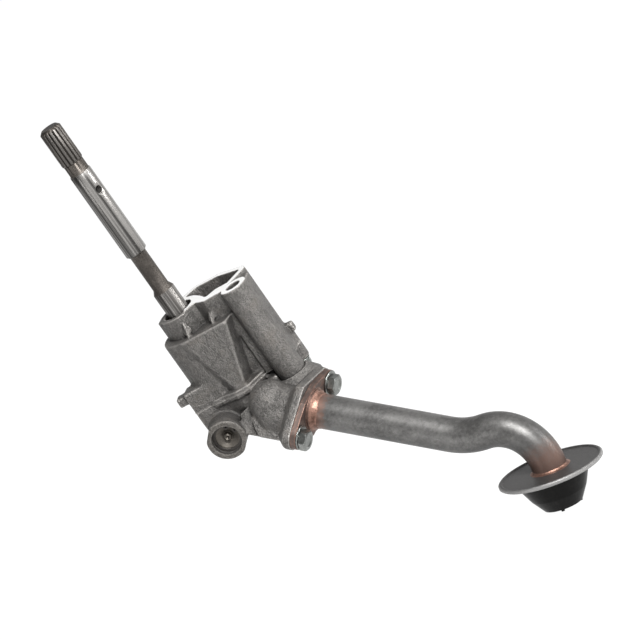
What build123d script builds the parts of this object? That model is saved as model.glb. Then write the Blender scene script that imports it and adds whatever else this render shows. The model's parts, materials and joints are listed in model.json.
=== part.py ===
"""Engine oil pump: a shaft-driven gear pump with a relief valve and a bolted suction tube.

Units are millimetres. The origin is on the drive-shaft axis in the machined mounting face, +Z runs
up the shaft to its splined end, +X points from the shaft to the mounting sleeve, and the relief
valve opens towards -Y.
"""
import os
from math import acos, cos, pi, radians, sin, sqrt, tan

from build123d import *

os.makedirs("parts", exist_ok=True)

# ------------------------------------------------------------------ driving dimensions
# gear pair
gear_module = 2.5
gear_teeth = 12
gear_width = 28.0
pressure_angle = 28.0
addendum = 2.25
dedendum = 2.9
flank_backlash = 0.16          # taken off each tooth, measured along the pitch circle
mesh_angle = 35.0              # bearing of the idler from the drive shaft, from +X
tip_clearance = 0.08
end_clearance = 0.05

# drive shaft
shaft_diameter = 16.0
shaft_tip_height = 155.4
spline_length = 29.0
spline_teeth = 16
spline_depth = 1.1
spline_groove_share = 0.385    # of the spline pitch, at the root
spline_groove_flare = 1.8
relief_length = 7.8
relief_diameter = 14.6
journal_foot = 49.2
neck_foot = 17.2
neck_diameter = 12.2
neck_taper = 3.0
shaft_chamfer = 1.0
tip_chamfer = 2.0
oil_hole_diameter = 5.0
oil_hole_height = 102.2
oil_hole_angle = -39.0
shaft_foot_depth = 9.5         # how far the shaft reaches below the cover joint

# bearings
running_clearance = 0.03
bush_wall = 2.5
upper_bush_land = 4.9          # body metal between the upper bush and the gear chamber
counterbore_diameter = 22.0
counterbore_depth = 5.0
idler_pin_diameter = 12.0
idler_bush_wall = 2.0
idler_pin_seat = 14.0          # length of the pin held in the pump body
idler_pin_foot = 7.0           # length of the pin held in the cover
blind_hole_gap = 0.6

# gear key
key_width = 5.0
key_height = 5.0
key_length = 18.0
key_shaft_depth = 3.0
key_angle = 215.0

# pump body
joint_depth = 66.0             # mounting face to the cover joint
deck_depth = 16.0              # mounting face to the ledge over the gear case
case_wall = 4.6
boss_diameter = 29.6
boss_step = 0.8
port_wall = 5.0
port_depth = 20.0
port_corner = 2.4
passage_diameter = 9.0
suction_port_diameter = 12.0
suction_port_depth = 16.0
pressure_port_offset = 1.5     # port middle beyond the corner of the gear chamber
suction_port_offset = 1.6
drill_lead = 6.0               # slanted drillings start this far outside the metal
gusset_half = 3.0
gusset_slope = 40.0
joint_lip = 3.0                # height of the raised lip on each side of the joint
lip_reach = 2.4                # how far the lip stands out from the gear case

# mounting sleeve, for an M10 bolt
sleeve_x = 48.4
sleeve_y = -18.1
sleeve_diameter = 20.0
sleeve_bore = 10.8
sleeve_drop = 12.0             # how far the sleeve reaches below the joint
sleeve_web_drop = 2.5

# wedge-shaped front panel
wedge_foot_height = 3.0        # above the joint

# ear beside the gear case
ear_height = 16.0              # above the joint
ear_width = 18.0
ear_depth = 14.5
ear_left = -26.2
ear_front = -20.6
tab_reach = 7.4
tab_root = 2.0
tab_drop = 1.4
tab_thickness = 7.0
tab_depth = 9.0
boss_lug_reach = 60.4
boss_lug_width = 9.0
boss_lug_depth = 6.0
boss_lug_height = 7.0
boss_lug_offset = 1.0
boss_foot = 2.0                # bolt bosses stop this far below the top of the ear
border_width = 1.8
border_drop = 5.0
border_top = (29.2, -26.6)
border_foot = (17.3, -27.0)

# cover
cover_flange = 12.0
cover_inset = 1.8
bolt_diameter = 6.0
bolt_head_across_flats = 10.0
bolt_head_height = 4.2
bolt_clearance = 0.4
bolt_edge = 1.0                # metal between a cover bolt and the gear case
bolt_grip = 16.0               # thread length inside the pump body
bolt_boss_diameter = 13.6
socket_diameter = 14.0         # room for a socket over each cover bolt
socket_reach = 40.0
washer_thickness = 1.2
washer_diameter = 12.0
washer_clearance = 0.2
dowel_diameter = 6.0
dowel_length = 14.0
dowel_bore = 3.4

# relief valve
relief_x = -11.8
relief_drop = 20.8             # valve axis below the joint
relief_reach = 41.0            # shaft axis to the ring face
relief_tail = 17.0             # shaft axis to the blind end of the barrel
relief_outer_diameter = 28.8
relief_barrel_diameter = 27.2
relief_collar = 7.5
ring_flat = 13.4                # valve axis to the two flats on the ring
ring_flat_angle = 48.0
relief_cap_bore = 21.0
relief_cap_depth = 10.5
piston_diameter = 14.0
piston_length = 18.0
piston_wall = 1.6
piston_crown = 5.0
piston_clearance = 0.03
piston_travel = 8.0
piston_stop = 11.0             # where the crown rests, behind the shaft axis
feed_chamber_depth = 3.0
feed_chamber_diameter = 10.0
feed_hole_diameter = 5.0
feed_hole_offset = 2.0
spill_hole_diameter = 5.0
spill_hole_lead = 2.0
cap_fit = 0.05
cap_thickness = 4.5
cap_boss_diameter = 5.4
cap_dish = 2.2
cap_rim = 2.6
cap_boss_flare = 0.6
cap_boss_rise = 1.0
cap_spigot = 2.0
circlip_thickness = 1.2
circlip_groove = 0.9
circlip_reach = 2.2
circlip_gap = 34.0
circlip_gap_angle = 42.0
circlip_eye = 3.8
circlip_eye_hole = 1.6
circlip_eye_turn = 6.0
spring_wire = 1.5
spring_diameter = 9.0
spring_turns = 6
spring_steps = 14              # straight chords in each turn
spring_fit = 0.2
seal_section = 1.8
suction_passage_diameter = 10.0
vent_diameter = 4.0
lower_bush_length = 9.8
saddle_drop = 17.0             # foot of the saddle behind the mounting sleeve, below the joint
skirt_drop = 7.4               # top of the skirt round the foot of the mounting sleeve
skirt_wall = 1.8
skirt_slope = 38.0
block_drop = 23.0              # foot of the block behind the valve, below the joint
arm_drop = 15.0                # top of the arm, below the joint
arm_foot_drop = 27.0
bolt_seat_drop = 22.0          # seat of the mounting bolt's head, below the joint
sleeve_gap = 0.4
spanner_bore = 17.2             # room for the head of the mounting bolt under its sleeve

# suction duct, inlet flange and tube
inlet_x = 51.7
inlet_y = -45.2
inlet_fall = 28.7              # middle of the inlet flange, below the joint
inlet_yaw = 23.5
inlet_drop = 30.4
inlet_bolt_tilt = 12.0
inlet_bolt_spacing = 52.0
duct_bore = 21.0
duct_wall = 3.2
dome_radius = 15.5
duct_length = 29.0
flange_thickness = 5.4
flange_back = 5.6              # sloping back of the flange
flange_back_slope = 48.0
belly_radius = 13.0            # thickened underside of the duct
belly_drop = 8.0
belly_length = 24.0
web_angle = 220.0              # bearing of the web round the duct axis, from the bolt line
web_reach = 25.0
web_front = 7.0
web_back = 6.0
web_thin = 5.0                 # thickness of the end beside the valve
inlet_seal_radius = 13.0
flange_centre_radius = 21.5
flange_end_radius = 9.5
plate_thickness = 4.0
plate_centre_radius = 18.0
plate_end_radius = 8.6
collar_radius = 14.8
collar_height = 1.6
inlet_bolt_diameter = 8.0
inlet_bolt_across_flats = 13.0
inlet_bolt_head = 5.3
inlet_bolt_thread = 6.5
inlet_bolt_turn = 12.0
inlet_washer_diameter = 17.0
inlet_washer_thickness = 1.6
tube_diameter = 24.0
tube_wall = 1.5
tube_straight = 103.0
tube_first_bend = 28.9
tube_first_radius = 52.8
tube_second_bend = 96.3
tube_second_radius = 32.8
tube_roll = 12.9
tube_end_run = 5.5
braze_leg = 2.6
flange_braze_height = 5.5
strainer_braze_height = 1.9

# strainer
strainer_plate_diameter = 73.0
strainer_plate_thickness = 1.5
strainer_rim = 1.5
cup_mouth_diameter = 53.0
cup_crease_diameter = 39.0
cup_crease_depth = 15.5
cup_foot_diameter = 27.0
cup_depth = 24.5
cup_wall = 1.0
cup_mouth_lip = 2.0
cup_window_diameter = 21.0
screen_thickness = 0.8
tab_count = 4
tab_size = 2.4
tab_edge = 0.36
tab_turn = 20.0
tube_through = 2.0

# ------------------------------------------------------------------ derived sizes
centre_distance = gear_module * gear_teeth
pitch_radius = centre_distance / 2
base_radius = pitch_radius * cos(radians(pressure_angle))
tip_radius = pitch_radius + addendum
root_radius = pitch_radius - dedendum
chamber_radius = tip_radius + tip_clearance
case_radius = chamber_radius + case_wall
drive_axis = (0.0, 0.0)
idler_axis = (centre_distance * cos(radians(mesh_angle)), centre_distance * sin(radians(mesh_angle)))
chamber_depth = gear_width + 2 * end_clearance
chamber_top = -joint_depth + chamber_depth
upper_bush_length = -chamber_top - counterbore_depth - upper_bush_land
ear_top = ear_height - joint_depth
sleeve_length = joint_depth + sleeve_drop
relief_z = -joint_depth - relief_drop
inlet_z = -joint_depth - inlet_fall
shaft_radius = shaft_diameter / 2
bush_bore = shaft_radius + running_clearance
bush_radius = bush_bore + bush_wall
shaft_foot = -joint_depth - shaft_foot_depth
half_chamber = sqrt(chamber_radius**2 - pitch_radius**2)


def mesh_point(along, across):
    """Point measured from the drive shaft along the line of centres, and across it to the rear."""
    turn = radians(mesh_angle)
    return (along * cos(turn) - across * sin(turn), along * sin(turn) + across * cos(turn))


pressure_port = mesh_point(pitch_radius, half_chamber + pressure_port_offset)
suction_port = mesh_point(pitch_radius, -half_chamber - suction_port_offset)

bolt_reach = case_radius + bolt_diameter / 2 + bolt_edge
bolt_points = [
    (bolt_reach * cos(radians(116)), bolt_reach * sin(radians(116))),
    (idler_axis[0] + bolt_reach * cos(radians(100)), idler_axis[1] + bolt_reach * sin(radians(100))),
    (50.4, 8.6),
    (36.5, -8.0),
]
dowel_points = [
    (ear_left + ear_width / 2, ear_front + ear_depth / 2),
    (idler_axis[0] + bolt_reach * cos(radians(35)), idler_axis[1] + bolt_reach * sin(radians(35))),
]

relief_plane = Plane(origin=(relief_x, -relief_reach, relief_z), x_dir=(1, 0, 0), z_dir=(0, -1, 0))
cap_back = -relief_cap_depth
cap_front = cap_back + cap_thickness
piston_back = -(relief_reach + piston_stop)

yaw, drop = radians(inlet_yaw), radians(inlet_drop)
inlet_axis = Vector(cos(drop) * cos(yaw), -cos(drop) * sin(yaw), -sin(drop))
inlet_side = Vector(sin(yaw), cos(yaw), 0)
inlet_up = inlet_axis.cross(inlet_side)
inlet_centre = Vector(inlet_x, inlet_y, inlet_z)
bolt_tilt = radians(inlet_bolt_tilt)
bolt_line = inlet_side * cos(bolt_tilt) + inlet_up * sin(bolt_tilt)
inlet_plane = Plane(origin=inlet_centre, x_dir=bolt_line, z_dir=inlet_axis)
dome_centre = inlet_centre - inlet_axis * duct_length
duct_radius = duct_bore / 2 + duct_wall
web_turn = radians(web_angle)
web_line = bolt_line * cos(web_turn) + inlet_axis.cross(bolt_line) * sin(web_turn)
web_plane = Plane(origin=inlet_centre, x_dir=-inlet_axis, z_dir=web_line.cross(inlet_axis))
belly_place = (belly_drop * cos(web_turn), belly_drop * sin(web_turn))
belly_centre = inlet_centre + web_line * belly_drop - inlet_axis * belly_length


# ------------------------------------------------------------------ shared outlines
def involute(radius):
    """Involute function at a radius of the gear."""
    angle = acos(min(1.0, base_radius / radius))
    return tan(angle) - angle


def flank_angle(radius):
    """Half the angle that a tooth takes up at a radius."""
    at_pitch = (pi * gear_module / 2 - flank_backlash) / (2 * pitch_radius)
    return at_pitch + involute(pitch_radius) - involute(max(radius, base_radius))


def polar(radius, angle):
    """Point at a radius and an angle in radians."""
    return (radius * cos(angle), radius * sin(angle))


def gear_outline(centre, start_angle):
    """Sketch of the toothed outline, with one tooth centred on the start angle in degrees."""
    flank_middle = (base_radius + tip_radius) / 2
    with BuildSketch() as tooth:
        with BuildLine():
            Line(polar(root_radius - 1, -flank_angle(0)), polar(base_radius, -flank_angle(0)))
            ThreePointArc(
                polar(base_radius, -flank_angle(0)),
                polar(flank_middle, -flank_angle(flank_middle)),
                polar(tip_radius, -flank_angle(tip_radius)),
            )
            ThreePointArc(
                polar(tip_radius, -flank_angle(tip_radius)),
                (tip_radius, 0),
                polar(tip_radius, flank_angle(tip_radius)),
            )
            ThreePointArc(
                polar(tip_radius, flank_angle(tip_radius)),
                polar(flank_middle, flank_angle(flank_middle)),
                polar(base_radius, flank_angle(0)),
            )
            Line(polar(base_radius, flank_angle(0)), polar(root_radius - 1, flank_angle(0)))
            Line(polar(root_radius - 1, flank_angle(0)), polar(root_radius - 1, -flank_angle(0)))
        make_face()
    with BuildSketch() as outline:
        with Locations(centre):
            Circle(root_radius)
            with PolarLocations(0, gear_teeth, start_angle=start_angle):
                add(tooth.sketch)
    return outline.sketch


def port_outline():
    """Sketch of the outlet port pocket in the mounting face."""
    with BuildSketch() as outline:
        with BuildLine():
            Polyline(
                (3.6, 16.6), (12.0, 24.0), (30.0, 21.5), (50.6, 8.6), (41.6, -5.0),
                (32.4, -3.6), (24.8, -9.0), (18.6, 2.0), (11.8, 11.0), close=True,
            )
        make_face()
        fillet(outline.vertices(), port_corner)
    return outline.sketch


def joint_outline(reach):
    """Sketch of the joint flange, at a reach beyond the gear case."""
    with BuildSketch() as outline:
        with Locations(drive_axis, idler_axis):
            Circle(case_radius + reach)
        make_hull()
        with BuildLine():
            Polyline(
                (-6, -20.6 - reach / 2), (9.0, -27.2 - reach), (20.0, -27.2 - reach),
                (34.0 + reach, -12.0), (20.0, 4.0), (-6.0, 4.0), close=True,
            )
        make_face()
        with Locations(*bolt_points):
            Circle(bolt_boss_diameter / 2)
        with Locations((ear_left + ear_width / 2, ear_front + ear_depth / 2)):
            Rectangle(ear_width, ear_depth)
        with BuildLine():
            Polyline(
                (30, -10), (44.0, -8.0), (51.5 + reach, -1.0), (54.0 + reach, 8.6),
                (44.0, 24.0), (24.0, 20.0), close=True,
            )
        make_face()
    return outline.sketch


def rhombic_outline(centre_radius, end_radius, sides):
    """Sketch of a two-bolt flange: a faceted middle hulled to its two rounded ends."""
    with BuildSketch() as outline:
        RegularPolygon(centre_radius, sides)
        with GridLocations(inlet_bolt_spacing, 0, 2, 1):
            Circle(end_radius)
        make_hull()
    return outline.sketch


# ------------------------------------------------------------------ pump body
with BuildPart() as pump_body:
    # gear case round both gears
    with BuildSketch(Plane.XY.offset(-deck_depth)):
        with Locations(drive_axis, idler_axis):
            Circle(case_radius)
        make_hull()
    extrude(amount=deck_depth - joint_depth)

    # outlet duct, the shaft boss and the wall between them
    with BuildSketch(Plane.XY):
        add(port_outline())
        offset(amount=port_wall)
        Circle(boss_diameter / 2)
        with BuildLine():
            Polyline((-15.8, -4.4), (-8.0, -12.5), (4.0, 0.0), (-8.0, 12.5), (-14.4, 4.0), close=True)
        make_face()
        with BuildLine():
            Polyline(
                (8.0, -10.4), (15.4, -8.2), (23.6, -15.6), (38.4, -16.4), (44.0, -8.0),
                (20.0, 8.0), (0.0, 10.0), close=True,
            )
        make_face()
    extrude(amount=-joint_depth)

    # wedge-shaped front panel, wide under the deck and narrow at the joint
    with BuildSketch(Plane.XY.offset(-deck_depth)):
        with BuildLine():
            Polyline(
                (-18.2, -11.6), (-4.6, -23.0), (32.8, -27.6), (37.2, -16.4), (30.0, 0.0),
                (-10.0, 0.0), close=True,
            )
        make_face()
    with BuildSketch(Plane.XY.offset(wedge_foot_height - joint_depth)):
        with BuildLine():
            Polyline(
                (2.0, -18.6), (10.6, -27.2), (18.4, -27.2), (22.0, -18.0), (18.0, 0.0),
                (4.0, 0.0), close=True,
            )
        make_face()
    loft(ruled=True)

    # narrow wall beside the mounting sleeve
    with BuildSketch(Plane.XY.offset(-deck_depth)):
        with BuildLine():
            Polyline((32.6, -18.6), (39.0, -18.6), (46.0, -14.0), (44.0, 0.0), (28.0, 0.0), close=True)
        make_face()
    extrude(amount=deck_depth - joint_depth)

    # mounting sleeve and its web, a little below the machined face
    with BuildSketch(Plane.XY):
        with Locations((sleeve_x, sleeve_y)):
            Circle(sleeve_diameter / 2)
    extrude(amount=-sleeve_length)
    with BuildSketch(Plane.XY.offset(-sleeve_web_drop)):
        with BuildLine():
            Polyline((42.0, -18.0), (55.4, -13.0), (56.2, 3.0), (46.0, 6.0), (38.4, -10.0), close=True)
        make_face()
    extrude(amount=sleeve_web_drop - joint_depth)

    # lip round the cover joint
    with BuildSketch(Plane.XY.offset(joint_lip - joint_depth)):
        add(joint_outline(lip_reach))
    extrude(amount=-joint_lip)

    # bolt bosses standing on the lip
    with BuildSketch(Plane.XY.offset(ear_top - boss_foot)):
        with Locations(*bolt_points):
            Circle(bolt_boss_diameter / 2)
    extrude(amount=-joint_depth - ear_top + boss_foot)

    # ear with its tab
    with BuildSketch(Plane.XY.offset(ear_top)):
        with Locations((ear_left + ear_width / 2, ear_front + ear_depth / 2)):
            Rectangle(ear_width, ear_depth)
    extrude(amount=-joint_depth - ear_top)
    with BuildSketch(Plane.XY.offset(ear_top - tab_drop)):
        with Locations((ear_left + (tab_root - tab_reach) / 2, ear_front + ear_depth / 2)):
            Rectangle(tab_reach + tab_root, tab_depth)
    extrude(amount=-tab_thickness)

    # lug on the right-hand bolt boss
    with BuildSketch(Plane.XY.offset(ear_top)):
        with Locations((boss_lug_reach - boss_lug_width / 2, bolt_points[2][1] - boss_lug_offset)):
            Rectangle(boss_lug_width, boss_lug_depth)
    extrude(amount=-boss_lug_height)

    # raised border down the right-hand edge of the front panel
    with BuildSketch(Plane.XY.offset(-deck_depth - border_drop)):
        with Locations(border_top):
            Rectangle(border_width, border_width)
    with BuildSketch(Plane.XY.offset(wedge_foot_height - joint_depth)):
        with Locations(border_foot):
            Rectangle(border_width, border_width)
    loft(ruled=True)

    # two gussets from the deck wall to the front edge of the ledge
    for gusset_x, wall_y, apex_z in ((2.6, -13.6, -4.4), (22.4, -13.0, -6.6)):
        with BuildSketch(Plane.YZ.offset(gusset_x)):
            with BuildLine():
                Polyline((wall_y, apex_z), (-23.4, -deck_depth), (wall_y, -deck_depth), close=True)
            make_face()
        extrude(amount=gusset_half, both=True, taper=gusset_slope)

    # gear chamber, open at the joint
    with BuildSketch(Plane.XY.offset(-joint_depth)):
        with Locations(drive_axis, idler_axis):
            Circle(chamber_radius)
    extrude(amount=chamber_depth, mode=Mode.SUBTRACT)
    with BuildSketch(Plane.XY.offset(-joint_depth)):
        with Locations(suction_port):
            Circle(suction_port_diameter / 2)
    extrude(amount=suction_port_depth, mode=Mode.SUBTRACT)

    # outlet port and the passage up to it
    with BuildSketch(Plane.XY):
        add(port_outline())
    extrude(amount=-port_depth, mode=Mode.SUBTRACT)
    with BuildSketch(Plane.XY.offset(-port_depth)):
        with Locations(pressure_port):
            Circle(passage_diameter / 2)
    extrude(amount=port_depth - joint_depth, mode=Mode.SUBTRACT)

    # the boss stands a little below the machined face on the far side of the shaft
    with BuildSketch(Plane.XY):
        with BuildLine():
            Polyline((-20.0, -16.0), (7.0, -16.0), (7.0, 8.0), (0.0, 14.0), (-20.0, 14.0), close=True)
        make_face()
    extrude(amount=-boss_step, mode=Mode.SUBTRACT)

    # shaft bore, bush seat and counterbore
    with Locations((0, 0, 0)):
        CounterBoreHole(bush_radius, counterbore_diameter / 2, counterbore_depth,
                        depth=-chamber_top)

    # blind seat of the idler pin
    with BuildSketch(Plane.XY.offset(chamber_top)):
        with Locations(idler_axis):
            Circle(idler_pin_diameter / 2)
    extrude(amount=idler_pin_seat, mode=Mode.SUBTRACT)

    # mounting bolt bore, cover bolt threads and dowel holes
    with Locations((sleeve_x, sleeve_y, 0)):
        Hole(sleeve_bore / 2, depth=sleeve_length)
    with BuildSketch(Plane.XY.offset(-joint_depth)):
        with Locations(*bolt_points):
            Circle(bolt_diameter / 2)
    extrude(amount=bolt_grip + blind_hole_gap, mode=Mode.SUBTRACT)
    with BuildSketch(Plane.XY.offset(-joint_depth)):
        with Locations(*dowel_points):
            Circle(dowel_diameter / 2)
    extrude(amount=dowel_length / 2, mode=Mode.SUBTRACT)

pump_body.part.label = "pump_body"
export_step(pump_body.part, "parts/pump_body.step")

# ------------------------------------------------------------------ pump cover
with BuildPart() as pump_cover:
    # joint flange, with its lip
    with BuildSketch(Plane.XY.offset(-joint_depth)):
        add(joint_outline(lip_reach))
    extrude(amount=-joint_lip)
    with BuildSketch(Plane.XY.offset(-joint_depth)):
        add(joint_outline(lip_reach - cover_inset))
    extrude(amount=-cover_flange)

    # block between the relief valve and the suction duct
    with BuildSketch(Plane.XY.offset(-joint_depth - joint_lip)):
        with BuildLine():
            Polyline(
                (-26.0, -20.4), (-6.0, -22.0), (10.0, -26.0), (28.0, -26.0), (28.0, -14.0),
                (14.0, 8.0), (6.0, relief_tail), (-24.0, relief_tail), close=True,
            )
        make_face()
    extrude(amount=joint_lip - block_drop)

    # relief valve barrel
    with BuildSketch(relief_plane):
        Circle(relief_outer_diameter / 2)
        Rectangle(relief_outer_diameter, 2 * ring_flat, mode=Mode.INTERSECT, rotation=ring_flat_angle)
    extrude(amount=-relief_collar)
    with BuildSketch(relief_plane.offset(-relief_collar)):
        Circle(relief_barrel_diameter / 2)
    extrude(amount=relief_collar - relief_reach - relief_tail)

    # suction duct with its domed end
    with BuildSketch(inlet_plane):
        Circle(duct_radius)
    extrude(amount=-duct_length)
    with Locations(dome_centre):
        Sphere(dome_radius)
    with BuildSketch(inlet_plane):
        with Locations(belly_place):
            Circle(belly_radius)
    extrude(amount=-belly_length)
    with Locations(belly_centre):
        Sphere(belly_radius)

    # cast inlet flange, with a sloping back
    with BuildSketch(inlet_plane):
        add(rhombic_outline(flange_centre_radius, flange_end_radius, 8))
    extrude(amount=-flange_thickness)
    with BuildSketch(inlet_plane.offset(-flange_thickness)):
        add(rhombic_outline(flange_centre_radius, flange_end_radius, 8))
    extrude(amount=-flange_back, taper=flange_back_slope)

    # saddle behind the mounting sleeve, the skirt round its foot, and the arm to the flange's far end
    with BuildSketch(Plane.XY.offset(-joint_depth - joint_lip)):
        with BuildLine():
            Polyline(
                (30.0, -24.0), (38.0, -24.5), (44.0, -18.0), (56.5, -16.0), (53.0, -1.0),
                (50.0, 6.0), (36.0, 4.0), close=True,
            )
        make_face()
    extrude(amount=joint_lip - saddle_drop)
    with BuildSketch(Plane.XY.offset(-joint_depth - skirt_drop)):
        with Locations((sleeve_x, sleeve_y)):
            Circle(sleeve_diameter / 2 + skirt_wall)
    extrude(amount=skirt_drop - saddle_drop, taper=-skirt_slope)
    with BuildSketch(Plane.XY.offset(-joint_depth - arm_drop)):
        with BuildLine():
            Polyline(
                (34.0, -28.0), (40.0, -8.0), (53.5, 0.5), (68.0, -19.0), (60.5, -27.0), (50.0, -34.0),
                close=True,
            )
        make_face()
    extrude(amount=arm_drop - arm_foot_drop)
    split(bisect_by=inlet_plane, keep=Keep.BOTTOM)

    # web under the duct, from the flange to the relief barrel: a thick part and a thinner end
    with BuildSketch(web_plane.offset(-web_back)):
        with BuildLine():
            Polyline((5.0, 0.0), (33.0, 0.0), (39.0, 14.0), (31.0, web_reach), (5.0, web_reach), close=True)
        make_face()
    extrude(amount=web_back + web_front)
    with BuildSketch(web_plane.offset(-web_back)):
        with BuildLine():
            Polyline(
                (30.0, 0.0), (44.0, 4.0), (51.0, 12.0), (46.0, web_reach), (30.0, web_reach), close=True,
            )
        make_face()
    extrude(amount=web_thin)

    # pocket for the foot of the mounting sleeve, the bolt's hole and room for its head
    with BuildSketch(Plane.XY.offset(-joint_depth)):
        with Locations((sleeve_x, sleeve_y)):
            Circle(sleeve_diameter / 2 + sleeve_gap)
    extrude(amount=-sleeve_drop - sleeve_gap, mode=Mode.SUBTRACT)
    with BuildSketch(Plane.XY.offset(-sleeve_length)):
        with Locations((sleeve_x, sleeve_y)):
            Circle(sleeve_bore / 2)
    extrude(amount=sleeve_drop - bolt_seat_drop, mode=Mode.SUBTRACT)
    with BuildSketch(Plane.XY.offset(-joint_depth - bolt_seat_drop)):
        with Locations((sleeve_x, sleeve_y)):
            Circle(spanner_bore / 2)
    extrude(amount=-socket_reach, mode=Mode.SUBTRACT)

    # relief valve bores: cap, piston, feed chamber, and the groove of the retaining ring
    with BuildSketch(relief_plane):
        Circle(relief_cap_bore / 2)
    extrude(amount=cap_back, mode=Mode.SUBTRACT)
    with BuildSketch(relief_plane):
        Circle(piston_diameter / 2)
    extrude(amount=piston_back, mode=Mode.SUBTRACT)
    with BuildSketch(relief_plane):
        Circle(feed_chamber_diameter / 2)
    extrude(amount=piston_back - feed_chamber_depth, mode=Mode.SUBTRACT)
    with BuildSketch(relief_plane.offset(cap_front)):
        Circle(relief_cap_bore / 2 + circlip_groove)
    extrude(amount=circlip_thickness, mode=Mode.SUBTRACT)

    # feed from the pressure side, vent to the suction side, spill hole to the sump
    feed_start = Vector(*pressure_port, -joint_depth)
    feed_end = Vector(relief_x + feed_hole_offset, piston_stop + feed_chamber_depth / 2, relief_z)
    with BuildSketch(Plane(origin=feed_start, z_dir=feed_end - feed_start).offset(-drill_lead)):
        Circle(feed_hole_diameter / 2)
    extrude(amount=(feed_end - feed_start).length + drill_lead, mode=Mode.SUBTRACT)
    vent_start = Vector(relief_x, -relief_reach / 2, relief_z)
    with BuildSketch(Plane(origin=vent_start, z_dir=dome_centre - vent_start)):
        Circle(vent_diameter / 2)
    extrude(amount=(dome_centre - vent_start).length, mode=Mode.SUBTRACT)
    with BuildSketch(Plane.XY.offset(relief_z)):
        with Locations((relief_x, piston_stop - piston_travel + spill_hole_lead)):
            Circle(spill_hole_diameter / 2)
    extrude(amount=-relief_outer_diameter, mode=Mode.SUBTRACT)

    # suction duct, from the flange through the dome to the port in the joint face
    with BuildSketch(inlet_plane):
        Circle(duct_bore / 2)
    extrude(amount=-duct_length, mode=Mode.SUBTRACT)
    port_centre = Vector(*suction_port, -joint_depth)
    with BuildSketch(Plane(origin=port_centre, z_dir=dome_centre - port_centre).offset(-drill_lead)):
        Circle(suction_passage_diameter / 2)
    extrude(amount=(dome_centre - port_centre).length + drill_lead, mode=Mode.SUBTRACT)

    # shaft bush pocket, idler pin seat, bolt holes and dowel holes
    with BuildSketch(Plane.XY.offset(-joint_depth)):
        Circle(bush_radius)
    extrude(amount=-shaft_foot_depth - blind_hole_gap, mode=Mode.SUBTRACT)
    with BuildSketch(Plane.XY.offset(-joint_depth)):
        with Locations(idler_axis):
            Circle(idler_pin_diameter / 2)
    extrude(amount=-idler_pin_foot - blind_hole_gap, mode=Mode.SUBTRACT)
    with BuildSketch(Plane.XY.offset(-joint_depth)):
        with Locations(*bolt_points):
            Circle(bolt_diameter / 2 + bolt_clearance)
    extrude(amount=-cover_flange, mode=Mode.SUBTRACT)
    with BuildSketch(Plane.XY.offset(-joint_depth - cover_flange)):
        with Locations(*bolt_points):
            Circle(socket_diameter / 2)
    extrude(amount=-socket_reach, mode=Mode.SUBTRACT)
    with BuildSketch(Plane.XY.offset(-joint_depth)):
        with Locations(*dowel_points):
            Circle(dowel_diameter / 2)
    extrude(amount=-dowel_length / 2, mode=Mode.SUBTRACT)

    # threads of the inlet bolts, and the groove of the inlet seal
    with BuildSketch(inlet_plane):
        with GridLocations(inlet_bolt_spacing, 0, 2, 1):
            Circle(inlet_bolt_diameter / 2)
    extrude(amount=-inlet_bolt_thread - blind_hole_gap, mode=Mode.SUBTRACT)
    with BuildSketch(inlet_plane):
        Circle(inlet_seal_radius + seal_section / 2)
        Circle(inlet_seal_radius - seal_section / 2, mode=Mode.SUBTRACT)
    extrude(amount=-seal_section, mode=Mode.SUBTRACT)

pump_cover.part.label = "pump_cover"
export_step(pump_cover.part, "parts/pump_cover.step")

# ------------------------------------------------------------------ drive shaft
with BuildPart() as drive_shaft:
    neck_radius = neck_diameter / 2
    spline_foot = shaft_tip_height - spline_length
    with BuildSketch(Plane.XZ):
        with BuildLine():
            Polyline(
                (0, shaft_foot),
                (shaft_radius - shaft_chamfer, shaft_foot),
                (shaft_radius, shaft_foot + shaft_chamfer),
                (shaft_radius, neck_foot - shaft_chamfer / 2),
                (neck_radius, neck_foot + neck_taper),
                (neck_radius, journal_foot - shaft_chamfer),
                (shaft_radius - shaft_chamfer, journal_foot),
                (shaft_radius, journal_foot + shaft_chamfer),
                (shaft_radius, spline_foot - relief_length - shaft_chamfer),
                (relief_diameter / 2, spline_foot - relief_length),
                (relief_diameter / 2, spline_foot),
                (shaft_radius, spline_foot + shaft_chamfer),
                (shaft_radius, shaft_tip_height - tip_chamfer),
                (shaft_radius - tip_chamfer, shaft_tip_height),
                (0, shaft_tip_height),
                close=True,
            )
        make_face()
    revolve(axis=Axis.Z)

    # spline grooves
    groove_root = shaft_radius - spline_depth
    groove_half = pi * groove_root / spline_teeth * spline_groove_share
    with BuildSketch(Plane.XY.offset(spline_foot)):
        with PolarLocations(0, spline_teeth):
            with BuildLine():
                Polyline(
                    (groove_root, -groove_half), (shaft_radius + 1, -groove_half * spline_groove_flare),
                    (shaft_radius + 1, groove_half * spline_groove_flare), (groove_root, groove_half),
                    close=True,
                )
            make_face()
    extrude(amount=spline_length, mode=Mode.SUBTRACT)

    # cross oil hole
    oil_direction = (cos(radians(oil_hole_angle)), sin(radians(oil_hole_angle)), 0)
    with BuildSketch(Plane(origin=(0, 0, oil_hole_height), z_dir=oil_direction)):
        Circle(oil_hole_diameter / 2)
    extrude(amount=shaft_radius + 1, both=True, mode=Mode.SUBTRACT)

    # keyway
    key_middle = chamber_top - chamber_depth / 2
    key_direction = (cos(radians(key_angle)), sin(radians(key_angle)), 0)
    key_plane = Plane(origin=(0, 0, key_middle), x_dir=(0, 0, 1), z_dir=key_direction)
    with BuildSketch(key_plane.offset(shaft_radius - key_shaft_depth)):
        Rectangle(key_length, key_width)
    extrude(amount=key_shaft_depth + 1, mode=Mode.SUBTRACT)

drive_shaft.part.label = "drive_shaft"
export_step(drive_shaft.part, "parts/drive_shaft.step")

# ------------------------------------------------------------------ gears, key, bushes and idler pin
gear_foot = -joint_depth + end_clearance

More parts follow.
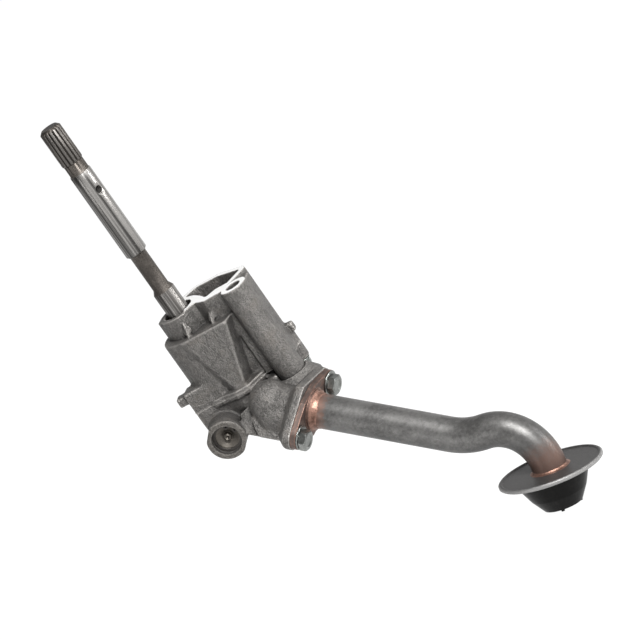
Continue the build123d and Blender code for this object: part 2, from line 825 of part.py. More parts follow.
with BuildPart() as drive_gear:
    with BuildSketch(Plane.XY.offset(gear_foot)):
        add(gear_outline(drive_axis, mesh_angle))
        Circle(shaft_radius, mode=Mode.SUBTRACT)
    extrude(amount=gear_width)
    with BuildSketch(key_plane.offset(shaft_radius - key_shaft_depth)):
        Rectangle(gear_width + 2, key_width)
    extrude(amount=key_height, mode=Mode.SUBTRACT)
drive_gear.part.label = "drive_gear"
export_step(drive_gear.part, "parts/drive_gear.step")

with BuildPart() as drive_gear_key:
    with BuildSketch(key_plane.offset(shaft_radius - key_shaft_depth)):
        Rectangle(key_length, key_width)
    extrude(amount=key_height)
drive_gear_key.part.label = "drive_gear_key"
export_step(drive_gear_key.part, "parts/drive_gear_key.step")

idler_bush_radius = idler_pin_diameter / 2 + running_clearance + idler_bush_wall

with BuildPart() as idler_gear:
    with BuildSketch(Plane.XY.offset(gear_foot)):
        add(gear_outline(idler_axis, mesh_angle + 180 + 180 / gear_teeth))
        with Locations(idler_axis):
            Circle(idler_bush_radius, mode=Mode.SUBTRACT)
    extrude(amount=gear_width)
idler_gear.part.label = "idler_gear"
export_step(idler_gear.part, "parts/idler_gear.step")


def make_bush(name, centre, foot, length, inner_radius, outer_radius):
    """Plain bush standing on a height, written as one node."""
    with BuildPart() as bush:
        with BuildSketch(Plane.XY.offset(foot)):
            with Locations(centre):
                Circle(outer_radius)
                Circle(inner_radius, mode=Mode.SUBTRACT)
        extrude(amount=length)
    bush.part.label = name
    export_step(bush.part, f"parts/{name}.step")


make_bush("idler_bush", idler_axis, gear_foot, gear_width,
          idler_pin_diameter / 2 + running_clearance, idler_bush_radius)
make_bush("upper_shaft_bush", drive_axis, -counterbore_depth - upper_bush_length, upper_bush_length,
          bush_bore, bush_radius)
make_bush("lower_shaft_bush", drive_axis, -joint_depth - lower_bush_length, lower_bush_length,
          bush_bore, bush_radius)

with BuildPart() as idler_pin:
    with BuildSketch(Plane.XY.offset(-joint_depth - idler_pin_foot)):
        with Locations(idler_axis):
            Circle(idler_pin_diameter / 2)
    extrude(amount=idler_pin_foot + chamber_depth + idler_pin_seat)
idler_pin.part.label = "idler_pin"
export_step(idler_pin.part, "parts/idler_pin.step")

# ------------------------------------------------------------------ relief valve
piston_radius = piston_diameter / 2 - piston_clearance
piston_bore = piston_radius - piston_wall

with BuildPart() as relief_piston:
    with BuildSketch(relief_plane.offset(piston_back)):
        Circle(piston_radius)
    extrude(amount=piston_length)
    with BuildSketch(relief_plane.offset(piston_back + piston_crown)):
        Circle(piston_bore)
    extrude(amount=piston_length - piston_crown, mode=Mode.SUBTRACT)
relief_piston.part.label = "relief_piston"
export_step(relief_piston.part, "parts/relief_piston.step")

cap_radius = relief_cap_bore / 2 - cap_fit
seal_radius = relief_cap_bore / 2 - seal_section / 2
seal_middle = (cap_back + cap_front) / 2

with BuildPart() as relief_cap:
    with BuildSketch(Plane.XZ):
        with BuildLine():
            Polyline(
                (0, cap_back - cap_spigot),
                ((spring_diameter - spring_wire) / 2 - spring_fit, cap_back - cap_spigot),
                ((spring_diameter - spring_wire) / 2 - spring_fit, cap_back),
                (cap_radius, cap_back),
                (cap_radius, cap_front),
                (cap_radius - cap_rim, cap_front),
                (cap_boss_diameter / 2 + cap_boss_flare, cap_front - cap_dish),
                (cap_boss_diameter / 2, cap_front + cap_boss_rise - cap_boss_flare),
                (cap_boss_diameter / 2 - cap_boss_rise, cap_front + cap_boss_rise),
                (0, cap_front - spring_fit),
                close=True,
            )
        make_face()
        with Locations((cap_radius, seal_middle)):
            Rectangle(2 * (cap_radius - seal_radius + seal_section / 2), seal_section + 0.2,
                      mode=Mode.SUBTRACT)
    revolve(axis=Axis.Z)
relief_cap_solid = relief_plane.location * relief_cap.part
relief_cap_solid.label = "relief_cap"
export_step(relief_cap_solid, "parts/relief_cap.step")

with BuildPart() as relief_cap_seal:
    with BuildSketch(Plane(origin=relief_plane.origin, x_dir=(1, 0, 0), z_dir=(0, 0, -1))):
        with Locations((seal_radius, seal_middle)):
            Rectangle(seal_section, seal_section)
    revolve(axis=Axis((relief_x, 0, relief_z), (0, -1, 0)))
relief_cap_seal.part.label = "relief_cap_seal"
export_step(relief_cap_seal.part, "parts/relief_cap_seal.step")

with BuildPart() as relief_circlip:
    ring_outer = relief_cap_bore / 2 + circlip_groove
    ring_inner = relief_cap_bore / 2 - circlip_reach
    with BuildSketch(relief_plane.offset(cap_front)):
        Circle(ring_outer)
        Circle(ring_inner, mode=Mode.SUBTRACT)
        with PolarLocations(0, 1, start_angle=circlip_gap_angle):
            with Locations((ring_outer, 0)):
                Rectangle(2 * ring_outer, 2 * ring_outer * sin(radians(circlip_gap / 2)),
                          mode=Mode.SUBTRACT)
        with PolarLocations(ring_inner - 0.2, 2,
                            start_angle=circlip_gap_angle - circlip_gap / 2 - circlip_eye_turn,
                            angular_range=circlip_gap + 2 * circlip_eye_turn, endpoint=True):
            Circle(circlip_eye / 2)
            Circle(circlip_eye_hole / 2, mode=Mode.SUBTRACT)
    extrude(amount=circlip_thickness)
relief_circlip.part.label = "relief_circlip"
export_step(relief_circlip.part, "parts/relief_circlip.step")

with BuildPart() as relief_spring:
    spring_start = piston_back + piston_crown + spring_wire / 2
    spring_height = cap_back - spring_wire / 2 - spring_start
    steps = spring_turns * spring_steps
    with BuildLine():
        spring_line = Polyline(*[
            (*polar(spring_diameter / 2, 2 * pi * step / spring_steps), spring_height * step / steps)
            for step in range(steps + 1)
        ])
    with BuildSketch(Plane(origin=spring_line @ 0, z_dir=spring_line % 0)):
        RegularPolygon(spring_wire / 2, 6)
    sweep(path=spring_line, transition=Transition.RIGHT)
relief_spring_solid = relief_plane.offset(spring_start).location * relief_spring.part
relief_spring_solid.label = "relief_spring"
export_step(relief_spring_solid, "parts/relief_spring.step")

# ------------------------------------------------------------------ cover fasteners
with BuildPart() as cover_bolts:
    head_seat = -joint_depth - cover_flange - washer_thickness
    with BuildSketch(Plane.XY.offset(head_seat)):
        with Locations(*bolt_points):
            Circle(bolt_diameter / 2)
    extrude(amount=-head_seat - joint_depth + bolt_grip)
    with BuildSketch(Plane.XY.offset(head_seat)):
        with Locations(*bolt_points):
            RegularPolygon(bolt_head_across_flats / 2, 6, major_radius=False)
    extrude(amount=-bolt_head_height)
cover_bolts.part.label = "cover_bolts"
export_step(cover_bolts.part, "parts/cover_bolts.step")

with BuildPart() as cover_washers:
    with BuildSketch(Plane.XY.offset(head_seat)):
        with Locations(*bolt_points):
            Circle(washer_diameter / 2)
            Circle(bolt_diameter / 2 + washer_clearance, mode=Mode.SUBTRACT)
    extrude(amount=washer_thickness)
cover_washers.part.label = "cover_washers"
export_step(cover_washers.part, "parts/cover_washers.step")

with BuildPart() as cover_dowels:
    with BuildSketch(Plane.XY.offset(-joint_depth)):
        with Locations(*dowel_points):
            Circle(dowel_diameter / 2)
            Circle(dowel_bore / 2, mode=Mode.SUBTRACT)
    extrude(amount=dowel_length / 2, both=True)
cover_dowels.part.label = "cover_dowels"
export_step(cover_dowels.part, "parts/cover_dowels.step")

# ------------------------------------------------------------------ suction tube and its flange
with BuildPart() as inlet_flange:
    with BuildSketch(inlet_plane):
        add(rhombic_outline(plate_centre_radius, plate_end_radius, 6))
    extrude(amount=plate_thickness)
    with BuildSketch(inlet_plane.offset(plate_thickness)):
        Circle(collar_radius)
    extrude(amount=collar_height)
    with BuildSketch(inlet_plane):
        Circle(tube_diameter / 2)
    extrude(amount=plate_thickness + collar_height, mode=Mode.SUBTRACT)
    with BuildSketch(inlet_plane):
        with GridLocations(inlet_bolt_spacing, 0, 2, 1):
            Circle(inlet_bolt_diameter / 2 + bolt_clearance)
    extrude(amount=plate_thickness, mode=Mode.SUBTRACT)
inlet_flange.part.label = "inlet_flange"
export_step(inlet_flange.part, "parts/inlet_flange.step")

with BuildPart() as inlet_seal:
    with BuildSketch(Plane(origin=inlet_centre, x_dir=bolt_line, z_dir=inlet_axis.cross(bolt_line))):
        with Locations((inlet_seal_radius, seal_section / 2)):
            Rectangle(seal_section, seal_section)
    revolve(axis=Axis(inlet_centre, inlet_axis))
inlet_seal.part.label = "inlet_seal"
export_step(inlet_seal.part, "parts/inlet_seal.step")

with BuildPart() as inlet_washers:
    with BuildSketch(inlet_plane.offset(plate_thickness)):
        with GridLocations(inlet_bolt_spacing, 0, 2, 1):
            Circle(inlet_washer_diameter / 2)
            Circle(inlet_bolt_diameter / 2 + washer_clearance, mode=Mode.SUBTRACT)
    extrude(amount=inlet_washer_thickness)
inlet_washers.part.label = "inlet_washers"
export_step(inlet_washers.part, "parts/inlet_washers.step")

with BuildPart() as inlet_bolts:
    inlet_head_seat = plate_thickness + inlet_washer_thickness
    with BuildSketch(inlet_plane.offset(-inlet_bolt_thread)):
        with GridLocations(inlet_bolt_spacing, 0, 2, 1):
            Circle(inlet_bolt_diameter / 2)
    extrude(amount=inlet_bolt_thread + inlet_head_seat)
    with BuildSketch(inlet_plane.offset(inlet_head_seat)):
        with GridLocations(inlet_bolt_spacing, 0, 2, 1):
            RegularPolygon(inlet_bolt_across_flats / 2, 6, major_radius=False, rotation=inlet_bolt_turn)
    extrude(amount=inlet_bolt_head)
inlet_bolts.part.label = "inlet_bolts"
export_step(inlet_bolts.part, "parts/inlet_bolts.step")

roll = radians(tube_roll)
tube_rise = inlet_up * cos(roll) + inlet_side * sin(roll)
tube_plane = Plane(origin=inlet_centre, x_dir=inlet_axis, z_dir=inlet_axis.cross(tube_rise))

with BuildPart() as inlet_tube:
    with BuildLine(tube_plane) as tube_path:
        tube_run = Line((0, 0), (tube_straight, 0))
        first_bend = JernArc(tube_run @ 1, tube_run % 1, tube_first_radius, tube_first_bend)
        second_bend = JernArc(first_bend @ 1, first_bend % 1, tube_second_radius, -tube_second_bend)
        Line(second_bend @ 1, second_bend @ 1 + (second_bend % 1) * tube_end_run)
    with BuildSketch(inlet_plane):
        Circle(tube_diameter / 2)
    sweep(path=tube_path.wire())
    with BuildSketch(inlet_plane):
        Circle(tube_diameter / 2 - tube_wall)
    sweep(path=tube_path.wire(), mode=Mode.SUBTRACT)
inlet_tube.part.label = "inlet_tube"
export_step(inlet_tube.part, "parts/inlet_tube.step")


def make_braze(name, seat_plane, height):
    """Hollow-faced braze fillet round the tube, standing on a seat."""
    inner = tube_diameter / 2
    with BuildPart() as braze:
        with BuildSketch(Plane(origin=seat_plane.origin, x_dir=seat_plane.x_dir, z_dir=-seat_plane.y_dir)):
            with BuildLine():
                Polyline(
                    (inner, 0), (inner + braze_leg, 0), (inner + braze_leg * 0.36, height * 0.38),
                    (inner, height), close=True,
                )
            make_face()
        revolve(axis=Axis(seat_plane.origin, seat_plane.z_dir))
    braze.part.label = name
    export_step(braze.part, f"parts/{name}.step")


tube_end = tube_path.wire() @ 1
tube_end_direction = tube_path.wire() % 1
strainer_centre = tube_end - tube_end_direction * (tube_through + strainer_plate_thickness)
strainer_plane = Plane(origin=strainer_centre, x_dir=tube_plane.z_dir, z_dir=-tube_end_direction)

make_braze("flange_braze", inlet_plane.offset(plate_thickness + collar_height), flange_braze_height)
make_braze("strainer_braze", strainer_plane, strainer_braze_height)

# ------------------------------------------------------------------ strainer
with BuildPart() as strainer_plate:
    rim = strainer_plate_diameter / 2
    lift = strainer_rim - strainer_plate_thickness / 2
    with BuildSketch(Plane(origin=strainer_centre, x_dir=strainer_plane.x_dir,
                           z_dir=-strainer_plane.y_dir)):
        with BuildLine():
            Polyline(
                (tube_diameter / 2, 0), (rim - 2 * strainer_rim, 0), (rim - 1.4 * strainer_rim, lift),
                (rim - 0.6 * strainer_rim, lift), (rim, 0), (rim, -strainer_plate_thickness),
                (rim - 0.6 * strainer_rim, -strainer_plate_thickness - lift),
                (rim - 1.4 * strainer_rim, -strainer_plate_thickness - lift),
                (rim - 2 * strainer_rim, -strainer_plate_thickness),
                (tube_diameter / 2, -strainer_plate_thickness), close=True,
            )
        make_face()
    revolve(axis=Axis(strainer_centre, strainer_plane.z_dir))
strainer_plate.part.label = "strainer_plate"
export_step(strainer_plate.part, "parts/strainer_plate.step")

cup_plane = strainer_plane.offset(-strainer_plate_thickness)

with BuildPart() as strainer_cup:
    mouth, crease, foot = cup_mouth_diameter / 2, cup_crease_diameter / 2, cup_foot_diameter / 2
    window = cup_window_diameter / 2
    with BuildSketch(Plane(origin=cup_plane.origin, x_dir=cup_plane.x_dir, z_dir=cup_plane.y_dir)):
        with BuildLine():
            Polyline(
                (mouth - cup_wall, cup_wall), (crease - cup_wall, cup_crease_depth),
                (foot - cup_wall, cup_depth - cup_wall), (window, cup_depth - cup_wall),
                (window, cup_depth), (foot, cup_depth), (crease, cup_crease_depth), (mouth, cup_wall),
                (mouth + cup_mouth_lip, cup_wall), (mouth + cup_mouth_lip, 0), (mouth - cup_wall, 0),
                close=True,
            )
        make_face()
    revolve(axis=Axis(cup_plane.origin, cup_plane.z_dir))
    with BuildSketch(cup_plane.offset(-cup_depth)):
        with PolarLocations(foot - tab_size / 2 - tab_edge, tab_count, start_angle=tab_turn):
            Circle(tab_size / 2)
    extrude(amount=-tab_size / 2)
strainer_cup.part.label = "strainer_cup"
export_step(strainer_cup.part, "parts/strainer_cup.step")

with BuildPart() as strainer_screen:
    with BuildSketch(cup_plane.offset(cup_wall - cup_depth)):
        Circle(foot - cup_wall)
    extrude(amount=screen_thickness)
strainer_screen.part.label = "strainer_screen"
export_step(strainer_screen.part, "parts/strainer_screen.step")
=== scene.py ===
"""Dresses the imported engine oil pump: finishes, fasteners, braze, spring, strainer and studio."""

import json
from math import cos, pi, radians, sin, tan

import bmesh
import bpy
import numpy as np
from bpy.props import FloatProperty, FloatVectorProperty, IntProperty, PointerProperty
from mathutils import Matrix, Vector, noise
from mathutils.bvhtree import BVHTree


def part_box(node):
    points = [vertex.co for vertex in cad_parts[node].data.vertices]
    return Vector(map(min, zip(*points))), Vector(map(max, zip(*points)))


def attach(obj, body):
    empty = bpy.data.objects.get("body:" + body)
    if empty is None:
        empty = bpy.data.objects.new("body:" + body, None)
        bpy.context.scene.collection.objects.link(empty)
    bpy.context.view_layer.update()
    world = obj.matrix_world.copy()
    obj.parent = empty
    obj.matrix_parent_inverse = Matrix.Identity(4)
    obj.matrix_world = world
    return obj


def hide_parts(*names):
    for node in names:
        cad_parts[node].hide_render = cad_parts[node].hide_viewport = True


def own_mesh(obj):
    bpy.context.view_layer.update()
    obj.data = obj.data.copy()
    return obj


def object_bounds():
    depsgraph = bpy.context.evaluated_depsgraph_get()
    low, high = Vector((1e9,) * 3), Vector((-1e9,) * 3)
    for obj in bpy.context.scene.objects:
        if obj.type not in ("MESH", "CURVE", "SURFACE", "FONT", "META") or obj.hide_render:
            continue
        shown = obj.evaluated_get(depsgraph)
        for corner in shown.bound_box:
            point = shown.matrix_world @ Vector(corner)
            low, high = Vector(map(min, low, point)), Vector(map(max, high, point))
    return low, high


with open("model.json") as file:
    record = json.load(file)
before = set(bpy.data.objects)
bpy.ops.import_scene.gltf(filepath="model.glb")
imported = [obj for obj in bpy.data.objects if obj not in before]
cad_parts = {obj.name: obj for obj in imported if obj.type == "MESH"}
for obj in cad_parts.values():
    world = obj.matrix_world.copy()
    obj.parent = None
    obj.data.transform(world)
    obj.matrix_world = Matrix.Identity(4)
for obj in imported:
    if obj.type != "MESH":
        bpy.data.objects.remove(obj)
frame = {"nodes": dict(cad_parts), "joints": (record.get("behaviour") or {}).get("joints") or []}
cad_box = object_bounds()

bl_info = {
    "name": "Engine oil pump dressing",
    "version": (1, 0, 0),
    "blender": (4, 5, 0),
    "location": "View3D > Sidebar > Oil Pump",
    "description": "Finishes and small details of an engine oil pump with a bent suction tube",
    "category": "Object",
}

MM = 0.001
UP = Vector((0, 0, 1))
SIDE_HINT = Vector((0.31, 0.87, 0.38))  # off every axis in use; sets where hexagons have corners
CREASE = radians(32.0)  # edges sharper than this stay creased
SOFT_CREASE = radians(60.0)  # the same for wire and braze

# castings: machined faces and bores, which keep their exact place
JOINT_DEPTH = 66.0 * MM
CHAMBER_RADIUS = 17.33 * MM
CHAMBER_TOP = -37.9 * MM
IDLER_AXIS = Vector((24.5746, 17.2073, 0)) * MM
RELIEF_AXIS = Vector((-11.8, 0, -86.8)) * MM
RELIEF_FACE = -41.0 * MM
RELIEF_BORE_REACH = 11.6 * MM
SLEEVE = Vector((48.4, -18.1, 0)) * MM
SLEEVE_BORE_REACH = 6.0 * MM
TOP_SKIN = 0.25 * MM  # depth kept under the mounting face
FACE_SKIN = 0.3 * MM  # depth kept at the cover joint and the inlet
BORE_SKIN = 0.2 * MM  # depth kept round the gear chambers
MILLED_SKIN = 0.15 * MM  # depth that takes the milled finish
BOSS_FACE_DEPTH = 0.7 * MM  # depth of the relief boss's dull face
BOSS_SIDE = 6.0 * MM  # the relief boss lies on the low side of this X
SMOOTH_SHARE = 0.6  # pull towards the neighbours in each smoothing round

# relief valve's spring
SPRING_RADIUS = 4.5 * MM
SPRING_WIRE = 1.4 * MM
SPRING_TURNS = 6
END_TURN = 0.75  # share of a turn laid flat at each end
WIRE_SIDES = 12

# suction duct, tube and strainer
INLET_CENTRE = Vector((51.7, -45.2, -94.7)) * MM
INLET_YAW = radians(23.5)
INLET_DROP = radians(30.4)
INLET_AXIS = Vector((
    cos(INLET_DROP) * cos(INLET_YAW), -cos(INLET_DROP) * sin(INLET_YAW), -sin(INLET_DROP)))
HEAT_MARK_OUT = 6.0 * MM  # middle of the heat mark, out from the inlet face
TUBE_RADIUS = 12.0 * MM
BRAZE_LEG = 2.6 * MM
GAUZE_RADIUS = 12.4 * MM

# drive shaft: radii and heights over the mounting face of its turned lengths
SHAFT_RADIUS = 8.0 * MM
SHAFT_FOOT = -75.5 * MM
SHAFT_EDGE = 1.0 * MM
NECK = (17.2 * MM, 49.2 * MM)
NECK_RADIUS = 6.1 * MM
JOURNAL_TOP = 118.6 * MM
UNDERCUT_RADIUS = 7.3 * MM
SPLINES = (126.4 * MM, 155.4 * MM)
SPLINE_COUNT = 16
SPLINE_ROOT = 6.9 * MM
GROOVE_POINTS = 3  # points from a groove's middle to its flank
TIP_CHAMFER = 2.0 * MM
OIL_HOLE = Vector((0, 0, 102.2)) * MM
OIL_HOLE_TURN = radians(-39.0)
OIL_HOLE_RADIUS = 2.5 * MM
HOLE_MARGIN = 5.0 * MM  # the journal's rings keep this far from the hole
SINK_START = 7.1 * MM  # the countersink opens from here, outwards from the axis
DRILL_END = 9.0 * MM
DRILL_END_RADIUS = 3.9 * MM

# fasteners: axis towards the head, thread radius and washer radius
FASTENERS = {
    "inlet": (INLET_AXIS, 4.0 * MM, 8.5 * MM),
    "cover": (-UP, 3.0 * MM, 6.0 * MM),
}
WASHER_PLAY = 0.2 * MM

# plain steels: base colour and least roughness
PLAIN_STEELS = {
    "sintered_steel": ((0.22, 0.22, 0.225), 0.38),
    "pin_steel": ((0.42, 0.41, 0.40), 0.26),
    "cap_steel": ((0.12, 0.109, 0.095), 0.34),
    "ring_steel": ((0.07, 0.065, 0.06), 0.36),
    "spring_steel": ((0.14, 0.135, 0.13), 0.30),
    "piston_steel": ((0.45, 0.44, 0.43), 0.22),
}

# studio
FLOOR_HALF = 6.0
FLOOR_GAP = 2.0 * MM
FLOOR_GLOW = 1.08
FLOOR_SHARE = 0.92  # glow's share of the floor's look; the rest takes the shadow
DIM_SIDE = (-0.8, 0.4)  # from fully dim to fully lit, as cosines of the angle from the right
LEFT_FILL = 0.3  # left side lamp's power, as a share of the right one's


# ---- settings
def colour(name, surface, default):
    """Base colour setting of a surface."""
    return FloatVectorProperty(
        name=name, description=f"Base colour of the {surface}", subtype="COLOR", size=3,
        default=default, min=0, max=1)


def length(name, description, default, low, high):
    """Length setting in metres, between two limits."""
    return FloatProperty(
        name=name, description=description, subtype="DISTANCE", unit="LENGTH",
        default=default, min=low, max=high)


def angle(name, description, degrees):
    """Angle setting, whose default is given in degrees."""
    return FloatProperty(
        name=name, description=description, subtype="ANGLE", unit="ROTATION",
        default=radians(degrees))


def share(name, description, default):
    """Setting between 0 and 1."""
    return FloatProperty(
        name=name, description=description, subtype="FACTOR", default=default, min=0, max=1)


def power(name, description, default):
    """Lamp power setting."""
    return FloatProperty(
        name=name, description=description, subtype="POWER", unit="POWER", default=default, min=0)


def count(name, description, default, low, high):
    """Whole-number setting between two limits."""
    return IntProperty(name=name, description=description, default=default, min=low, max=high)


class FinishSettings(bpy.types.PropertyGroup):
    """Colours and grain of the pump's finishes"""

    casting_colour: colour("Casting", "cast aluminium", (0.112, 0.1065, 0.1005))
    machined_colour: colour("Machined face", "milled mounting face", (0.78, 0.78, 0.77))
    journal_colour: colour("Ground steel", "ground journals", (0.195, 0.188, 0.180))
    neck_colour: colour("Turned steel", "turned neck and the splines", (0.085, 0.076, 0.068))
    tube_colour: colour("Tube steel", "drawn suction tube", (0.118, 0.1155, 0.112))
    copper_colour: colour("Copper", "copper braze", (0.235, 0.135, 0.103))
    zinc_colour: colour("Zinc", "plated bolts", (0.235, 0.243, 0.232))
    plate_colour: colour("Strainer plate", "pressed strainer plate", (0.064, 0.062, 0.061))
    cup_colour: colour("Strainer cup", "black strainer cup", (0.0045, 0.0044, 0.0042))
    grain_size: length(
        "Casting grain", "Size of the sand grain on the castings", 0.0009, 0.0002, 0.005)


class DetailSettings(bpy.types.PropertyGroup):
    """Sizes of the fasteners, the gauze and the meshes"""

    inlet_head_width: length(
        "Inlet bolt head", "Width across the flats of the inlet bolt heads", 0.013, 0.006, 0.02)
    inlet_head_height: length(
        "Inlet head height", "Height of the inlet bolt heads", 0.0053, 0.002, 0.01)
    cover_head_width: length(
        "Cover bolt head", "Width across the flats of the cover bolt heads", 0.010, 0.006, 0.02)
    cover_head_height: length(
        "Cover head height", "Height of the cover bolt heads", 0.0042, 0.002, 0.01)
    head_chamfer: angle("Head chamfer", "Slope of the chamfer on the bolt heads", 28.0)
    gauze_pitch: length(
        "Gauze pitch", "Distance between the gauze's wires", 0.0014, 0.0008, 0.004)
    gauze_wire: length("Gauze wire", "Diameter of the gauze's wires", 0.00036, 0.0001, 0.001)
    skin_voxel: length(
        "Casting skin", "Mesh size of the castings' rounded skin", 0.0006, 0.0003, 0.002)
    skin_rounds: count(
        "Skin rounding", "Smoothing rounds that soften the castings' edges", 14, 0, 60)
    ring_segments: count("Round segments", "Segments round the turned details", 96, 24, 256)
    points_per_spline: count(
        "Points per spline", "Points round the shaft for each spline", 16, 8, 32)


class StageSettings(bpy.types.PropertyGroup):
    """Camera, lamps and surroundings of the studio"""

    azimuth: angle("Azimuth", "Camera bearing from the relief valve's side", 17.0)
    elevation: angle("Elevation", "Camera height over the mounting face's plane", 16.5)
    roll: angle("Roll", "Turn of the camera about its view", 34.8)
    distance: length("Distance", "Camera distance", 2.442, 0.1, 20.0)
    lens: FloatProperty(
        name="Lens", description="Focal length in millimetres", subtype="DISTANCE_CAMERA",
        unit="CAMERA", default=200.0)
    target: FloatVectorProperty(
        name="Target", description="Point that the camera looks at", subtype="XYZ",
        unit="LENGTH", size=3, default=(0.07818, 0.00548, -0.05941))
    ceiling_start: angle(
        "Ceiling start", "Height at which the white horizon starts to darken", 14.0)
    ceiling_end: angle("Ceiling end", "Height from which the ceiling is evenly dark", 46.0)
    horizon_level: share("Horizon level", "Strength of the white below the ceiling", 0.86)
    left_level: share("Left level", "Share of the white that is left on the dim side", 0.30)
    ceiling_level: share("Ceiling level", "Strength of the ceiling", 0.10)
    key_power: power("Key", "Power of the main lamp", 36.0)
    fill_power: power("Fill", "Power of the right side lamp; the left one has less", 5.0)


# ---- shader maths
class Wire:
    """A socket whose arithmetic adds Math nodes to its tree."""

    def __init__(self, build, socket):
        self.build = build
        self.socket = socket

    def _math(self, operation, first, second):
        return self.build.node(
            "ShaderNodeMath", {"operation": operation}, {0: first, 1: second})

    def __add__(self, other):
        return self._math("ADD", self, other)

    __radd__ = __add__

    def __mul__(self, other):
        return self._math("MULTIPLY", self, other)

    __rmul__ = __mul__

    def __sub__(self, other):
        return self._math("SUBTRACT", self, other)

    def __rsub__(self, other):
        return self._math("SUBTRACT", other, self)

    def __gt__(self, other):
        return self._math("GREATER_THAN", self, other)

    def __lt__(self, other):
        return self._math("LESS_THAN", self, other)

    def clamped(self):
        """The value held between 0 and 1."""
        return self.build.node("ShaderNodeClamp", values={"Value": self})

    def rise(self, low, high, start=0.0, end=1.0):
        """The start value below low, the end value above high, and smooth between them."""
        return self.build.node(
            "ShaderNodeMapRange", {"interpolation_type": "SMOOTHSTEP"},
            {"Value": self, "From Min": low, "From Max": high, "To Min": start, "To Max": end})


class Build:
    """A node tree and the one method that adds its nodes."""

    def __init__(self, tree):
        self.tree = tree

    def node(self, kind, settings=None, values=None, output=0):
        """Adds a node, applies its settings, fills or links its sockets, and returns an output."""
        made = self.tree.nodes.new(kind)
        for key, value in (settings or {}).items():
            setattr(made, key, value)
        for key, value in (values or {}).items():
            self.feed(made.inputs[key], value)
        return Wire(self, made.outputs[output])

    def feed(self, socket, value):
        """Links a wire to a socket, or sets the socket to a number, vector or colour."""
        if isinstance(value, Wire):
            self.tree.links.new(value.socket, socket)
        elif socket.type == "RGBA" and len(value) == 3:
            socket.default_value = (*value, 1)
        else:
            socket.default_value = value

    def mix(self, factor, first, second):
        """Colour between two colours."""
        return self.node(
            "ShaderNodeMix", {"data_type": "RGBA"}, {0: factor, 6: first, 7: second}, 2)

    def vector(self, operation, first, second=(0, 0, 0), output="Vector"):
        """Vector Math on one or two vectors."""
        return self.node(
            "ShaderNodeVectorMath", {"operation": operation}, {0: first, 1: second}, output)

    def part(self, vector, axis):
        """One component of a vector."""
        return self.node("ShaderNodeSeparateXYZ", values={"Vector": vector}, output=axis)


class Finish(Build):
    """One procedural material: its Principled shader and its common patterns."""

    def __init__(self, name):
        self.material = bpy.data.materials.new(name)
        self.material.use_nodes = True
        super().__init__(self.material.node_tree)
        self.tree.nodes.clear()
        self.shader = self.tree.nodes.new("ShaderNodeBsdfPrincipled")
        self.output = self.tree.nodes.new("ShaderNodeOutputMaterial")
        self.tree.links.new(self.shader.outputs["BSDF"], self.output.inputs["Surface"])
        self.place = self.node("ShaderNodeTexCoord", output="Object")

    def set(self, **sockets):
        """Fills the shader's sockets, where an underscore stands for a space in a name."""
        for key, value in sockets.items():
            self.feed(self.shader.inputs[key.replace("_", " ")], value)
        return self.material

    def noise(self, size, detail=4.0, roughness=0.6, stretch=None, warp=0.0):
        """Cloudy pattern with spots of about the given size, longer where stretch is small."""
        place = self.vector("MULTIPLY", self.place, stretch) if stretch else self.place
        return self.node("ShaderNodeTexNoise", values={
            "Vector": place, "Scale": 1 / size, "Detail": detail, "Roughness": roughness,
            "Distortion": warp})

    def cells(self, size):
        """Cellular pattern whose cells are about the given size in metres."""
        return self.node(
            "ShaderNodeTexVoronoi", values={"Vector": self.place, "Scale": 1 / size})

    def height(self, axis="Z"):
        """Coordinate along a row axis, in metres."""
        return self.part(self.place, axis)

    def distance(self, point):
        """Distance from a point, in metres."""
        return self.vector("DISTANCE", self.place, tuple(point), "Value")

    def geometry(self, output):
        """One output of the Geometry node."""
        return self.node("ShaderNodeNewGeometry", output=output)

    def facing_up(self):
        """Component of the surface normal along +Z."""
        return self.part(self.geometry("Normal"), "Z")

    def rounded(self, radius):
        """Surface normal with the edges rounded by a radius."""
        return self.node("ShaderNodeBevel", {"samples": 6}, {"Radius": radius})

    def edge_mask(self, width):
        """Above 0 on edges and corners, from the angle between the true and the rounded normal."""
        return 1 - self.vector(
            "DOT_PRODUCT", self.rounded(width), self.geometry("Normal"), "Value")

    def crevice(self, reach):
        """0 on open faces, up to 1 in recesses no wider than the given reach."""
        open_share = self.node(
            "ShaderNodeAmbientOcclusion", {"samples": 8}, {"Distance": reach}, "AO")
        return (1 - open_share).rise(0.12, 0.75)

    def relief(self, height, depth, rounding=None):
        """Bump of a height pattern, in metres, on edges rounded by the given radius."""
        values = {"Height": height, "Distance": depth}
        if rounding:
            values["Normal"] = self.rounded(rounding)
        return self.node("ShaderNodeBump", values=values)

    def shades(self, factor, base, dark, light):
        """Colour between a darker and a lighter shade of one colour."""
        return self.mix(factor, scaled(base, dark), scaled(base, light))


def scaled(base, factor):
    """A colour made lighter or darker."""
    return tuple(min(1.0, channel * factor) for channel in base)


def settings():
    """The add-on's finish settings."""
    return bpy.context.scene.oil_pump_finish


